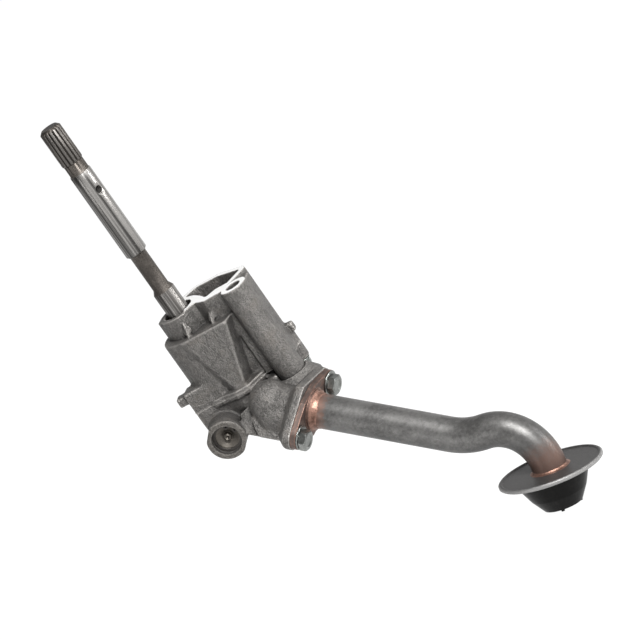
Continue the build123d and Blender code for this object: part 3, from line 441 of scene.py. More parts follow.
# ---- finishes
def cast_aluminium():
    """Sand-grained castings with painted shade in their hollows and crevices, worn ridges and edges
    with a painted highlight, and a milled mounting face.
    """
    look = settings()
    base, milled_base = look.casting_colour, look.machined_colour
    oil_stain = (0.098, 0.084, 0.070)
    boss_dark, boss_light = (0.045, 0.041, 0.036), (0.135, 0.125, 0.112)
    finish = Finish("cast_aluminium")
    grain = finish.noise(look.grain_size, detail=6, roughness=0.68)
    pits = finish.cells(look.grain_size * 1.3)
    cloud = finish.noise(0.012, detail=3)
    flow = finish.noise(0.0036, roughness=0.55, stretch=(1, 1, 0.55), warp=1.6)
    curve = finish.geometry("Pointiness")
    ridge_wear_and_highlight = (curve + (grain - 0.5) * 0.02).rise(0.505, 0.535)
    hollow = 1 - (curve + (grain - 0.5) * 0.02).rise(0.450, 0.494)
    edge = finish.edge_mask(0.0012).rise(0.02, 0.22) * (curve > 0.5)
    # painted shade: recesses found by ambient occlusion are darkened
    painted_crevice_shade = (finish.crevice(0.016) * (0.7 + grain * 0.6)).clamped()
    tone = (grain * 0.55 + cloud * 0.15 + flow * 0.30).rise(0.36, 0.66)

    cast = finish.shades(tone, base, 0.46, 1.62)
    cast = finish.mix((0.34 - pits).rise(0.0, 0.22) * 0.45, cast, scaled(base, 0.36))
    cast = finish.mix(cloud.rise(0.50, 0.72) * 0.35, cast, oil_stain)
    cast = finish.mix(painted_crevice_shade * 0.72, cast, scaled(base, 0.22))
    # painted shade: concave corners found by pointiness are darkened
    cast = finish.mix(hollow * 0.70, cast, scaled(base, 0.28))
    # ridges and edges lightened, partly as wear and partly as a painted highlight
    cast = finish.mix((ridge_wear_and_highlight + edge).clamped() * 0.62, cast, scaled(base, 3.0))
    boss_face = ((finish.height("Y") < RELIEF_FACE + BOSS_FACE_DEPTH)
                 * (finish.height("X") < BOSS_SIDE))
    cast = finish.mix(boss_face * 0.8, cast, finish.mix(tone, boss_dark, boss_light))

    milled = (finish.height() > -MILLED_SKIN) * (finish.facing_up() > 0.9)
    lines = finish.noise(0.0006, detail=2, roughness=0.5, stretch=(0.15, 1, 1))
    face = finish.mix(lines * 0.25, milled_base, scaled(milled_base, 0.8))
    bump = grain * 0.60 + pits * 0.25 + flow * 0.90
    return finish.set(
        Base_Color=finish.mix(milled, cast, face),
        Metallic=0.55 - milled * 0.25,
        Roughness=0.44 + grain * 0.18 - ridge_wear_and_highlight * 0.12 - milled * 0.16,
        Normal=finish.relief(bump * (1 - milled), depth=0.00085, rounding=0.0004),
    )


def ground_steel():
    """Shaft: bright ground journals with drawn streaks and painted reflection bands, darker turned
    lengths, and painted shade in the spline grooves.
    """
    look = settings()
    journal_base, neck_base = look.journal_colour, look.neck_colour
    neck_foot, neck_top = NECK
    spline_foot, tip = SPLINES
    finish = Finish("ground_steel")
    streaks = finish.noise(0.0014, stretch=(1, 1, 0.008))
    broad = finish.noise(0.0046, detail=1, roughness=0.4, stretch=(1, 1, 0.006))
    rings = finish.noise(0.0004, detail=2, roughness=0.5, stretch=(0.05, 0.05, 1))
    stain = finish.noise(0.010, stretch=(1, 1, 0.4))
    fleck = finish.noise(0.0011, roughness=0.65)
    high = finish.height()
    spoke = finish.vector("MULTIPLY", finish.place, (1, 1, 0))
    reach = finish.vector("LENGTH", spoke, output="Value")

    above_journal = high.rise(JOURNAL_TOP - 0.6 * MM, JOURNAL_TOP - 0.2 * MM)
    journal = high.rise(neck_top, neck_top + 0.4 * MM) * (1 - above_journal)
    foot = 1 - high.rise(neck_foot - 0.4 * MM, neck_foot)
    ground = (journal + foot * 0.75).clamped()
    # painted reflection: light and dark lengthwise bands on the journals, mixed with drawn streaks
    streaks_and_reflections = (streaks * 0.55 + broad * 0.45).rise(0.42, 0.58)
    bright = finish.shades(streaks_and_reflections, journal_base, 0.30, 1.60)

    splined = high.rise(spline_foot - 0.2 * MM, spline_foot + 0.2 * MM)
    chamfer = tip - TIP_CHAMFER
    below_end = 1 - high.rise(chamfer - 0.6 * MM, chamfer)
    flank = reach.rise(SPLINE_ROOT + 0.5 * MM, SHAFT_RADIUS - 0.15 * MM)
    crest = reach.rise(SHAFT_RADIUS - 0.3 * MM, SHAFT_RADIUS - 0.08 * MM) * splined
    dark = finish.shades((stain * 0.6 + fleck * 0.4).rise(0.38, 0.66), neck_base, 0.66, 1.40)
    dark = finish.mix(crest * 0.5, dark, scaled(journal_base, 0.7))
    # painted shade: the floors of the spline grooves are darkened nearly to black
    dark = finish.mix((1 - flank) * splined * below_end * 0.9, dark, scaled(neck_base, 0.2))
    return finish.set(
        Base_Color=finish.mix(ground, dark, bright),
        Metallic=0.92,
        Roughness=0.46 - ground * 0.14 + fleck * (1 - ground) * 0.10,
        Normal=finish.relief((rings + fleck) * (1 - ground), depth=0.00005),
    )


def plain_steel(name):
    """Machined or pressed steel with fine mottling and lighter edges."""
    base, roughness = PLAIN_STEELS[name]
    finish = Finish(name)
    mottle = finish.noise(0.0012, detail=5)
    cloud = finish.noise(0.0108, detail=3)
    body = finish.shades((mottle * 0.4 + cloud * 0.6).rise(0.3, 0.7), base, 0.70, 1.30)
    edges = finish.edge_mask(0.0006).rise(0.05, 0.4)
    return finish.set(
        Base_Color=finish.mix(edges * 0.5, body, scaled(base, 2.0)),
        Metallic=0.9,
        Roughness=roughness + mottle * 0.14,
        Normal=finish.relief(mottle, depth=0.0001, rounding=0.0004),
    )


def tube_steel():
    """Drawn tube: mottled semi-gloss grey, with lengthwise scratches, heat marks at its ends and
    painted shade on its underside.
    """
    look = settings()
    base, copper = look.tube_colour, look.copper_colour
    plate_low, plate_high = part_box("strainer_plate")
    finish = Finish("tube_steel")
    mottle = finish.noise(0.0022, detail=6, roughness=0.65)
    patch = finish.noise(0.014, roughness=0.62, stretch=(0.5, 1, 1))
    scratch = finish.noise(0.0009, detail=3, stretch=(0.06, 1, 1))
    tone = (mottle * 0.45 + patch * 0.55).rise(0.34, 0.66)
    painted_underside_shade = (0 - finish.facing_up()).rise(0.1, 0.9)
    from_top = finish.distance(INLET_CENTRE + INLET_AXIS * HEAT_MARK_OUT)
    from_foot = finish.distance((plate_low + plate_high) / 2)
    ragged = (mottle - 0.5) * 0.008
    smoke_foot = 1 - (from_foot + ragged).rise(0.022, 0.060)
    heat_top = 1 - (from_top + ragged).rise(0.0125, 0.0172)
    heat_foot = 1 - (from_foot + ragged * 1.6).rise(0.013, 0.027)

    body = finish.shades(tone, base, 0.60, 1.30)
    # painted shade: the faces that point down are darkened
    body = finish.mix(painted_underside_shade * 0.70, body, scaled(base, 0.34))
    body = finish.mix(scratch.rise(0.62, 0.72) * 0.5, body, scaled(base, 1.9))
    body = finish.mix(smoke_foot * 0.5, body, scaled(base, 0.45))
    body = finish.mix(heat_top * 0.85, body, scaled(copper, 0.85))
    body = finish.mix(heat_foot * 0.75, body, scaled(copper, 0.60))
    return finish.set(
        Base_Color=body,
        Metallic=0.62,
        Roughness=0.38 + mottle * 0.14 - tone * 0.05,
        Normal=finish.relief(mottle * 0.7 + scratch * 0.3, depth=0.00014),
    )


def flange_steel():
    """Pressed tube flange: scaled grey steel with copper flashed round its edges and collar."""
    copper = settings().copper_colour
    scale_dark, scale_light = (0.105, 0.080, 0.071), (0.180, 0.132, 0.114)
    finish = Finish("flange_steel")
    mottle = finish.noise(0.0016, detail=5, roughness=0.65)
    cloud = finish.noise(0.009)
    rim = finish.edge_mask(0.0022).rise(0.01, 0.22)
    flash = (rim * 0.9 + (cloud - 0.52).rise(0.02, 0.2) * 0.55).clamped()
    steel = finish.mix(cloud.rise(0.35, 0.7), scale_dark, scale_light)
    return finish.set(
        Base_Color=finish.mix(
            flash, steel, finish.shades(mottle.rise(0.3, 0.7), copper, 0.7, 1.25)),
        Metallic=0.85,
        Roughness=0.40 + mottle * 0.16,
        Normal=finish.relief(mottle, depth=0.00014, rounding=0.0005),
    )


def copper_braze():
    """Flowed copper braze, from bright orange to a burnt brown."""
    finish = Finish("copper_braze")
    ripple = finish.noise(0.0015, warp=0.4)
    cloud = finish.noise(0.005, detail=3)
    tone = (ripple * 0.4 + cloud * 0.6).rise(0.3, 0.7)
    return finish.set(
        Base_Color=finish.shades(tone, settings().copper_colour, 0.55, 1.35),
        Metallic=0.9,
        Roughness=0.37 + ripple * 0.18,
        Normal=finish.relief(ripple + cloud, depth=0.0002),
    )


def zinc_plate():
    """Bright zinc plating with a faint cool tint and lighter edges."""
    edge_tint = (0.80, 0.82, 0.80)
    finish = Finish("zinc_plate")
    mottle = finish.noise(0.0018)
    cloud = finish.noise(0.006, detail=3)
    tone = (mottle * 0.4 + cloud * 0.6).rise(0.3, 0.7)
    edges = finish.edge_mask(0.0005).rise(0.05, 0.4)
    body = finish.shades(tone, settings().zinc_colour, 0.62, 1.18)
    return finish.set(
        Base_Color=finish.mix(edges * 0.5, body, edge_tint),
        Metallic=0.95,
        Roughness=0.24 + mottle * 0.12,
        Normal=finish.relief(mottle, depth=0.00008, rounding=0.0004),
    )


def strainer_steel():
    """Pressed plate: dark phosphated steel, scuffed, with a painted highlight along its rim."""
    base = settings().plate_colour
    rim_highlight_tint = (0.34, 0.335, 0.33)
    middle, _ = disc_frame("strainer_plate")
    points = frame["nodes"]["strainer_plate"].data.vertices
    rim = max((point.co - middle).length for point in points)
    finish = Finish("strainer_steel")
    mottle = finish.noise(0.0014, detail=5, roughness=0.65)
    scuff = finish.noise(0.006, detail=5, roughness=0.7, stretch=(1, 0.3, 1))
    reach = finish.distance(middle) + (mottle - 0.5) * 0.0006
    edges = reach.rise(rim - 1.6 * MM, rim - 0.6 * MM)
    body = finish.shades(mottle.rise(0.3, 0.7), base, 0.7, 1.35)
    body = finish.mix(scuff.rise(0.60, 0.75) * 0.35, body, scaled(base, 2.4))
    return finish.set(
        # painted highlight: a light band just inside the rim
        Base_Color=finish.mix(edges * 0.7, body, rim_highlight_tint),
        Metallic=0.75,
        Roughness=0.40 + mottle * 0.18,
        Normal=finish.relief(mottle, depth=0.0001, rounding=0.0004),
    )


def cup_black():
    """Strainer cup: black gloss finish with faint brown scuffs."""
    scuff_tint = (0.018, 0.0165, 0.015)
    finish = Finish("cup_black")
    mottle = finish.noise(0.0025)
    scuff = finish.noise(0.008, detail=5, roughness=0.7, stretch=(1, 1, 0.35))
    return finish.set(
        Base_Color=finish.mix(scuff.rise(0.52, 0.78) * 0.7, settings().cup_colour, scuff_tint),
        Metallic=0.0,
        Roughness=0.26 + mottle * 0.12,
        Specular_IOR_Level=0.08,
        Normal=finish.relief(mottle, depth=0.0001, rounding=0.0006),
    )


def gauze():
    """Woven strainer gauze: a fine square weave of wires."""
    gap_tint, wire_tint = (0.008, 0.008, 0.008), (0.30, 0.29, 0.28)
    finish = Finish("gauze")
    turned = finish.node(
        "ShaderNodeMapping", values={"Vector": finish.place, "Rotation": (0.2, -0.2, 0.4)})
    across, along = (
        finish.node("ShaderNodeTexWave", {"bands_direction": axis},
                    {"Vector": turned, "Scale": 320.0}, "Fac")
        for axis in "XY")
    weave = finish.node("ShaderNodeMath", {"operation": "MAXIMUM"}, {0: across, 1: along})
    wire = weave.rise(0.45, 0.8)
    return finish.set(
        Base_Color=finish.mix(wire, gap_tint, wire_tint),
        Metallic=0.85,
        Roughness=0.55 - wire * 0.2,
        Normal=finish.relief(weave, depth=0.0003),
    )


def bronze():
    """Bearing bronze with turning lines."""
    finish = Finish("bronze")
    rings = finish.noise(0.0006, detail=3, stretch=(0.08, 0.08, 1))
    cloud = finish.noise(0.008, detail=3)
    return finish.set(
        Base_Color=finish.mix(cloud.rise(0.3, 0.7), (0.30, 0.18, 0.08), (0.50, 0.33, 0.16)),
        Metallic=0.95,
        Roughness=0.30 + rings * 0.15,
        Normal=finish.relief(rings, depth=0.00008),
    )


def seal_rubber():
    """Black nitrile rubber with a slight bloom."""
    finish = Finish("seal_rubber")
    bloom = finish.noise(0.003)
    return finish.set(
        Base_Color=finish.mix(bloom.rise(0.3, 0.8), (0.010, 0.010, 0.010), (0.030, 0.029, 0.028)),
        Roughness=0.5 + bloom * 0.2,
        Normal=finish.relief(bloom, depth=0.0001),
    )


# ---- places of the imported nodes
def islands(node):
    """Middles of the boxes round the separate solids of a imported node, in a fixed order."""
    shape = bmesh.new()
    shape.from_mesh(frame["nodes"][node].data)
    bmesh.ops.remove_doubles(shape, verts=shape.verts, dist=1e-7)
    left = set(shape.verts)
    found = []
    while left:
        reached = {left.pop()}
        front = set(reached)
        while front:
            ends = {edge.other_vert(point) for point in front for edge in point.link_edges}
            front = ends - reached
            reached |= front
        left -= reached
        places = np.array([point.co for point in reached])
        found.append(Vector((places.min(0) + places.max(0)) / 2))
    shape.free()
    return sorted(found, key=tuple)


def disc_frame(node):
    """Middle and axis of a flat round node, with the axis pointing up."""
    places = np.array([point.co for point in frame["nodes"][node].data.vertices])
    middle = places.mean(0)
    axis = Vector(np.linalg.svd(places - middle, full_matrices=False)[2][2])
    return Vector(middle), axis if axis.z > 0 else -axis


def span_along(node, origin, axis):
    """Lowest and highest reach of a node along an axis through an origin."""
    reach = [(point.co - origin).dot(axis) for point in frame["nodes"][node].data.vertices]
    return min(reach), max(reach)


def seat_matrix(origin, axis):
    """Matrix whose Z runs along an axis from an origin."""
    along = axis.normalized()
    across = (SIDE_HINT - along * SIDE_HINT.dot(along)).normalized()
    turn = Matrix((across, along.cross(across), along)).transposed().to_4x4()
    return Matrix.Translation(origin) @ turn


# ---- meshes
def linked(name, data):
    """New object of the scene that holds the given data."""
    thing = bpy.data.objects.new(name, data)
    bpy.context.scene.collection.objects.link(thing)
    return thing


def applied(thing):
    """Mesh of an object with its modifiers applied."""
    graph = bpy.context.evaluated_depsgraph_get()
    return bpy.data.meshes.new_from_object(thing.evaluated_get(graph))


def closed_mesh(shape):
    """Mesh of closed skins, with the faces turned outwards. It frees the shape."""
    bmesh.ops.recalc_face_normals(shape, faces=shape.faces)
    mesh = bpy.data.meshes.new("skin")
    shape.to_mesh(mesh)
    shape.free()
    return mesh


def add_piece(name, mesh, material, body, nodes, crease=CREASE):
    """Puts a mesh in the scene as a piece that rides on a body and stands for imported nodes."""
    mesh.name = name
    mesh.shade_smooth()
    mesh.set_sharp_from_angle(angle=crease)
    mesh.materials.clear()
    mesh.materials.append(material)
    piece = linked(name, mesh)
    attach(piece, body)
    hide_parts(*nodes)
    return piece


def dress(material, *nodes):
    """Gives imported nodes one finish."""
    for name in nodes:
        mesh = frame["nodes"][name].data
        mesh.materials.clear()
        mesh.materials.append(material)


def ring(radius, height, points):
    """Points round the Z axis. Radius and height are numbers or functions of the angle."""
    turns = [2 * pi * step / points for step in range(points)]
    reach = radius if callable(radius) else lambda turn: radius
    rise = height if callable(height) else lambda turn: height
    return [
        Vector((reach(turn) * cos(turn), reach(turn) * sin(turn), rise(turn))) for turn in turns]


def add_skin(shape, rings, place=Matrix(), closed=False):
    """Skin over rings of points, capped at both ends, or joined end to end when it is closed."""
    rows = [[shape.verts.new(place @ point) for point in points] for points in rings]
    around = len(rows[0])
    for lower, upper in zip(rows, rows[1:] + rows[:1] if closed else rows[1:]):
        for step in range(around):
            after = (step + 1) % around
            shape.faces.new((lower[step], lower[after], upper[after], upper[step]))
    if not closed:
        shape.faces.new(list(reversed(rows[0])))
        shape.faces.new(rows[-1])


def add_turned(shape, profile, points, place=Matrix(), closed=False):
    """Turned skin over a profile of radius and height pairs."""
    add_skin(shape, [ring(radius, height, points) for radius, height in profile], place, closed)


def add_hex_bolt(shape, place, width, height, shank, thread_radius, slope, points):
    """Hexagon bolt seen head up: shank, washer face, chamfered flats and a dished top."""
    flat = width / 2
    crown = flat * 0.93
    collar, collar_height = flat * 0.94, height * 0.07

    def across(turn):
        return flat / cos((turn + pi / 6) % (pi / 3) - pi / 6)

    def shoulder(turn):
        return height - max(0.0, across(turn) - crown) * tan(slope)

    add_turned(shape, [
        (thread_radius * 0.8, -shank),
        (thread_radius, -shank + thread_radius * 0.3),
        (thread_radius, 0),
        (collar, 0),
        (collar, collar_height),
        (across, collar_height),
        (across, shoulder),
        (crown, height),
        (flat * 0.70, height),
        (flat * 0.56, height * 0.88),
        (flat * 0.20, height * 0.86),
    ], points, place)


def add_washer(shape, place, inner, outer, thickness, points):
    """Round washer with a domed face and rounded edges, standing on its seat."""
    edge = thickness * 0.3
    add_turned(shape, [
        (inner, 0),
        (outer - edge, 0),
        (outer, edge),
        (outer, thickness * 0.5),
        (outer - edge, thickness * 0.84),
        ((inner + outer) / 2, thickness * 0.98),
        (inner + edge * 0.5, thickness),
        (inner, thickness - edge * 0.5),
    ], points, place, closed=True)


def add_braze(shape, place, inner, leg, height, points):
    """Flowed braze fillet round a tube: a hollow face with an uneven toe and top."""
    # share of the leg, share of the height, and how far the edge wanders
    steps = (
        (0.86, 0.0, 0.22), (0.80, 0.07, 0.20), (0.52, 0.20, 0.10), (0.30, 0.42, 0.05),
        (0.14, 0.70, 0.02), (0.05, 0.98, 0.0), (0.0, 1.0, 0.0),
    )

    def uneven(turn, layer):
        return noise.noise(Vector((cos(turn) * 1.7, sin(turn) * 1.7, layer)))

    def level(out, up, wander):
        return (
            lambda turn: inner + leg * max(0.0, out + wander * uneven(turn, 3.1 + out)),
            lambda turn: height * max(0.0, up * (0.86 + 0.26 * uneven(turn, 7.7))),
        )

    add_turned(shape, [(inner, 0), *(level(*step) for step in steps)], points, place, closed=True)


def add_gauze(shape, place, radius, pitch, wire):
    """Plain-woven round gauze in the XY plane."""
    reach = int(radius / pitch)
    sides = [pi * side / 3 for side in range(6)]
    for direction in (0, 1):
        for lane in range(-reach, reach + 1):
            offset = lane * pitch
            half = (radius**2 - offset**2) ** 0.5
            steps = max(4, int(half * 8 / pitch))
            rows = []
            for step in range(steps + 1):
                along = -half + 2 * half * step / steps
                lift = wire * 0.5 * cos(pi * (along / pitch + lane + direction))
                middle = Vector((offset, along, lift) if direction else (along, offset, lift))
                rows.append([
                    middle + Vector((-cos(side), 0, sin(side)) if direction
                                    else (0, cos(side), sin(side))) * (wire / 2)
                    for side in sides
                ])
            add_skin(shape, rows, place)


def add_spring(shape, place, coil_radius, wire_radius, free_length, turns, points):
    """Coil spring of round wire that stands on the XY plane, with its ends laid flat."""
    steps = turns * points
    wire = 2 * wire_radius
    flat = END_TURN / turns
    climb = free_length - wire - 2 * END_TURN * wire
    sides = [2 * pi * side / WIRE_SIDES for side in range(WIRE_SIDES)]
    rows = []
    for step in range(steps + 1):
        gone = step / steps
        turn = 2 * pi * gone * turns
        eased = min(1.0, max(0.0, (gone - flat) / (1 - 2 * flat)))
        laid = min(gone, flat) / flat + (max(gone, 1 - flat) - 1 + flat) / flat
        height = wire_radius + laid * END_TURN * wire + eased * climb
        outward = Vector((cos(turn), sin(turn), 0))
        rows.append([
            outward * (coil_radius + wire_radius * cos(side))
            + UP * (height + wire_radius * sin(side))
            for side in sides
        ])
    add_skin(shape, rows, place)


def groove_share(turn, points_per_spline):
    """0 on the floor of a spline groove, 1 on the teeth, by the angle round the shaft."""
    gone = turn * SPLINE_COUNT / (2 * pi) % 1
    off_middle = min(gone, 1 - gone) * points_per_spline
    return min(1.0, max(0.0, off_middle - GROOVE_POINTS))


def add_splined_shaft(shape, points_per_spline):
    """Shaft turned in steps, with straight spline grooves milled in its upper end."""
    def grooved(radius):
        depth = radius - SPLINE_ROOT
        return lambda turn: SPLINE_ROOT + depth * groove_share(turn, points_per_spline)

    edge = SHAFT_EDGE
    neck_foot, neck_top = NECK
    spline_foot, tip = SPLINES
    add_turned(shape, [
        (SHAFT_RADIUS - edge, SHAFT_FOOT),
        (SHAFT_RADIUS, SHAFT_FOOT + edge),
        (SHAFT_RADIUS, neck_foot - edge / 2),
        (NECK_RADIUS, neck_foot + 3 * edge),
        (NECK_RADIUS, neck_top - edge),
        (SHAFT_RADIUS - edge, neck_top),
        (SHAFT_RADIUS, neck_top + edge),
        (SHAFT_RADIUS, OIL_HOLE.z - HOLE_MARGIN),
        (SHAFT_RADIUS, OIL_HOLE.z + HOLE_MARGIN),
        (SHAFT_RADIUS, JOURNAL_TOP - edge),
        (UNDERCUT_RADIUS, JOURNAL_TOP),
        (UNDERCUT_RADIUS, spline_foot),
        (grooved(UNDERCUT_RADIUS + edge / 5), spline_foot + edge / 5),
        (grooved(SHAFT_RADIUS), spline_foot + edge),
        (grooved(SHAFT_RADIUS), tip - TIP_CHAMFER),
        (SPLINE_ROOT, tip - (SPLINE_ROOT - SHAFT_RADIUS + TIP_CHAMFER)),
        (SHAFT_RADIUS - TIP_CHAMFER, tip),
    ], SPLINE_COUNT * points_per_spline)


def add_oil_drill(shape, points):
    """Cross drill of the shaft's oil hole, with a countersink at both ends."""
    along = Vector((cos(OIL_HOLE_TURN), sin(OIL_HOLE_TURN), 0))
    add_turned(shape, [
        (DRILL_END_RADIUS, -DRILL_END),
        (OIL_HOLE_RADIUS, -SINK_START),
        (OIL_HOLE_RADIUS, SINK_START),
        (DRILL_END_RADIUS, DRILL_END),
    ], points, seat_matrix(OIL_HOLE, along))


def cut_shape(solid, cutters):
    """Mesh of a solid with the given closed meshes cut out of it."""
    block = linked("block", solid)
    tools = [linked("cutter", mesh) for mesh in cutters]
    for tool in tools:
        cut = block.modifiers.new("cut", "BOOLEAN")
        cut.operation = "DIFFERENCE"
        cut.solver = "EXACT"
        cut.object = tool
    mesh = applied(block)
    for thing in (block, *tools):
        bpy.data.objects.remove(thing)
    return mesh


def voxel_copy(mesh, voxel):
    """Evenly meshed copy of a closed mesh."""
    block = linked("block", mesh.copy())
    remesh = block.modifiers.new("remesh", "REMESH")
    remesh.mode = "VOXEL"
    remesh.voxel_size = voxel
    even = applied(block)
    bpy.data.objects.remove(block)
    return even


def machined(places):
    """Which points lie on a machined face or bore of the castings, and keep their exact place."""
    x, y, z = places.T
    chamber = (CHAMBER_RADIUS + BORE_SKIN) ** 2

    def squared(first, second):
        return first**2 + second**2

    exact = z > -TOP_SKIN
    exact |= squared(x, y) < chamber
    exact |= (squared(x - IDLER_AXIS.x, y - IDLER_AXIS.y) < chamber) & (z < CHAMBER_TOP + MM)
    exact |= squared(x - SLEEVE.x, y - SLEEVE.y) < SLEEVE_BORE_REACH**2
    exact |= squared(x - RELIEF_AXIS.x, z - RELIEF_AXIS.z) < RELIEF_BORE_REACH**2
    exact |= np.abs(z + JOINT_DEPTH) < FACE_SKIN
    exact |= (places - np.array(INLET_CENTRE)) @ np.array(INLET_AXIS) > -FACE_SKIN
    return exact


def cast_skin(solid, voxel, rounds):
    """Skin of a casting: its solid with the edges and inner corners of the rough faces rounded."""
    shape = bmesh.new()
    shape.from_mesh(solid)
    tree = BVHTree.FromBMesh(shape)
    shape.free()
    mesh = voxel_copy(solid, voxel)
    total_points = len(mesh.vertices)
    places = np.empty(total_points * 3)
    mesh.vertices.foreach_get("co", places)
    places = np.array([tree.find_nearest(place)[0] for place in places.reshape(-1, 3)])

    ends = np.empty(len(mesh.edges) * 2, dtype=np.int64)
    mesh.edges.foreach_get("vertices", ends)
    first, second = ends.reshape(-1, 2).T
    neighbours = np.bincount(ends, minlength=total_points)[:, None]
    free = ~machined(places)[:, None]
    for _ in range(rounds):
        around = np.stack([
            np.bincount(first, along[second], total_points)
            + np.bincount(second, along[first], total_points)
            for along in places.T
        ], axis=1)
        moved = places * (1 - SMOOTH_SHARE) + around / neighbours * SMOOTH_SHARE
        places = np.where(free, moved, places)
    mesh.vertices.foreach_set("co", places.ravel())
    mesh.update()
    return mesh


# ---- operators
class PUMP_OT_castings(bpy.types.Operator):
    """Finish the cast pump body and cover"""

    bl_idname = "oil_pump.castings"
    bl_label = "Castings"

    def execute(self, context):
        detail = context.scene.oil_pump_detail
        material = cast_aluminium()
        for node in ("pump_body", "pump_cover"):
            skin = cast_skin(frame["nodes"][node].data, detail.skin_voxel, detail.skin_rounds)
            add_piece(f"{node}_skin", skin, material, "housing", [node])
        return {"FINISHED"}


class PUMP_OT_shaft(bpy.types.Operator):
    """Finish the drive shaft, its gears, pin, key and bushes"""

    bl_idname = "oil_pump.shaft"
    bl_label = "Drive shaft and gears"

    def execute(self, context):
        detail = context.scene.oil_pump_detail
        turned, drill = bmesh.new(), bmesh.new()
        add_splined_shaft(turned, detail.points_per_spline)
        add_oil_drill(drill, detail.ring_segments)
        key_slot = frame["nodes"]["drive_gear_key"].data.copy()
        shaft = cut_shape(closed_mesh(turned), [closed_mesh(drill), key_slot])
        add_piece("splined_drive_shaft", shaft, ground_steel(), "drive",
                  ["drive_shaft"])
        dress(plain_steel("sintered_steel"), "drive_gear", "idler_gear")
        dress(plain_steel("pin_steel"), "drive_gear_key", "idler_pin", "cover_dowels")
        dress(bronze(), "idler_bush", "upper_shaft_bush", "lower_shaft_bush")
        return {"FINISHED"}


class PUMP_OT_relief_valve(bpy.types.Operator):
    """Finish the relief valve's cap, retaining ring, spring, piston and seal"""

    bl_idname = "oil_pump.relief_valve"
    bl_label = "Relief valve"

    def execute(self, context):
        dress(plain_steel("cap_steel"), "relief_cap")
        dress(plain_steel("ring_steel"), "relief_circlip")
        wire = plain_steel("spring_steel")
        low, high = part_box("relief_spring")
        along = Vector((0, 1, 0))
        foot = Vector((RELIEF_AXIS.x, low.y, RELIEF_AXIS.z))
        free_length = high.y - low.y
        shape = bmesh.new()
        add_spring(shape, seat_matrix(foot, along), SPRING_RADIUS, SPRING_WIRE / 2, free_length,
                   SPRING_TURNS, context.scene.oil_pump_detail.ring_segments // 3)
        spring = add_piece("coiled_relief_spring", closed_mesh(shape), wire, "housing",
                           ["relief_spring"], SOFT_CREASE)
        slide = next(joint for joint in frame["joints"] if joint["name"] == "piston_slide")
        shortest = free_length - slide["range_m"][1]
        shortest / free_length
        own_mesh(spring)
        dress(plain_steel("piston_steel"), "relief_piston")
        dress(seal_rubber(), "relief_cap_seal", "inlet_seal")
        return {"FINISHED"}


class PUMP_OT_fasteners(bpy.types.Operator):
    """Finish the bolts and washers"""

    bl_idname = "oil_pump.fasteners"
    bl_label = "Bolts and washers"

    def execute(self, context):
        detail = context.scene.oil_pump_detail
        zinc = zinc_plate()
        for group, (axis, thread_radius, washer_radius) in FASTENERS.items():
            width = getattr(detail, f"{group}_head_width")
            height = getattr(detail, f"{group}_head_height")
            bolts, washers = bmesh.new(), bmesh.new()
            for middle in islands(f"{group}_bolts"):
                foot, top = span_along(f"{group}_bolts", middle, axis)
                place = seat_matrix(middle + axis * (top - height), axis)
                add_hex_bolt(bolts, place, width, height, top - height - foot, thread_radius,
                             detail.head_chamfer, detail.ring_segments)
            for middle in islands(f"{group}_washers"):
                foot, top = span_along(f"{group}_washers", middle, axis)
                place = seat_matrix(middle + axis * foot, axis)
                add_washer(washers, place, thread_radius + WASHER_PLAY, washer_radius, top - foot,
                           detail.ring_segments)
            for name, shape, node in (("hex_bolts", bolts, "bolts"),
                                      ("domed_washers", washers, "washers")):
                add_piece(f"{group}_{name}", closed_mesh(shape), zinc, "housing",
                          [f"{group}_{node}"])
        return {"FINISHED"}


class PUMP_OT_suction_tube(bpy.types.Operator):
    """Finish the suction tube, its flange and the braze"""

    bl_idname = "oil_pump.suction_tube"
    bl_label = "Suction tube"

    def execute(self, context):
        dress(tube_steel(), "inlet_tube")
        dress(flange_steel(), "inlet_flange")
        copper = copper_braze()
        seats = {
            "flange_braze": (INLET_CENTRE, INLET_AXIS),
            "strainer_braze": disc_frame("strainer_screen"),
        }
        for node, (origin, axis) in seats.items():
            foot, top = span_along(node, origin, axis)
            shape = bmesh.new()
            add_braze(shape, seat_matrix(origin + axis * foot, axis), TUBE_RADIUS, BRAZE_LEG,
                      top - foot, context.scene.oil_pump_detail.ring_segments * 2)
            add_piece(f"{node}_bead", closed_mesh(shape), copper, "housing",
                      [node], SOFT_CREASE)
        return {"FINISHED"}


class PUMP_OT_strainer(bpy.types.Operator):
    """Finish the strainer's plate, cup and gauze"""

    bl_idname = "oil_pump.strainer"
    bl_label = "Strainer"

    def execute(self, context):
        dress(strainer_steel(), "strainer_plate")
        dress(cup_black(), "strainer_cup")
        detail = context.scene.oil_pump_detail
        shape = bmesh.new()
        add_gauze(shape, seat_matrix(*disc_frame("strainer_screen")), GAUZE_RADIUS,
                  detail.gauze_pitch, detail.gauze_wire)
        add_piece("strainer_gauze", closed_mesh(shape), gauze(), "housing",
                  ["strainer_screen"])
        return {"FINISHED"}


# ---- studio
def direction(azimuth, elevation):
    """Unit vector towards a bearing and a height over the horizon."""
    return Vector((
        sin(azimuth) * cos(elevation), -cos(azimuth) * cos(elevation), sin(elevation)))


def add_camera(stage):
    """Camera that looks at the target, turned about its view."""
    camera = bpy.data.cameras.new("camera")
    camera.lens = stage.lens
    camera.clip_end = 20.0
    holder = linked("camera", camera)
    back = direction(stage.azimuth, stage.elevation)
    level = UP.cross(back).normalized()
    right = level * cos(stage.roll) - back.cross(level) * sin(stage.roll)
    turn = Matrix((right, back.cross(right), back)).transposed().to_4x4()
    holder.matrix_world = Matrix.Translation(Vector(stage.target) + back * stage.distance) @ turn
    bpy.context.scene.camera = holder


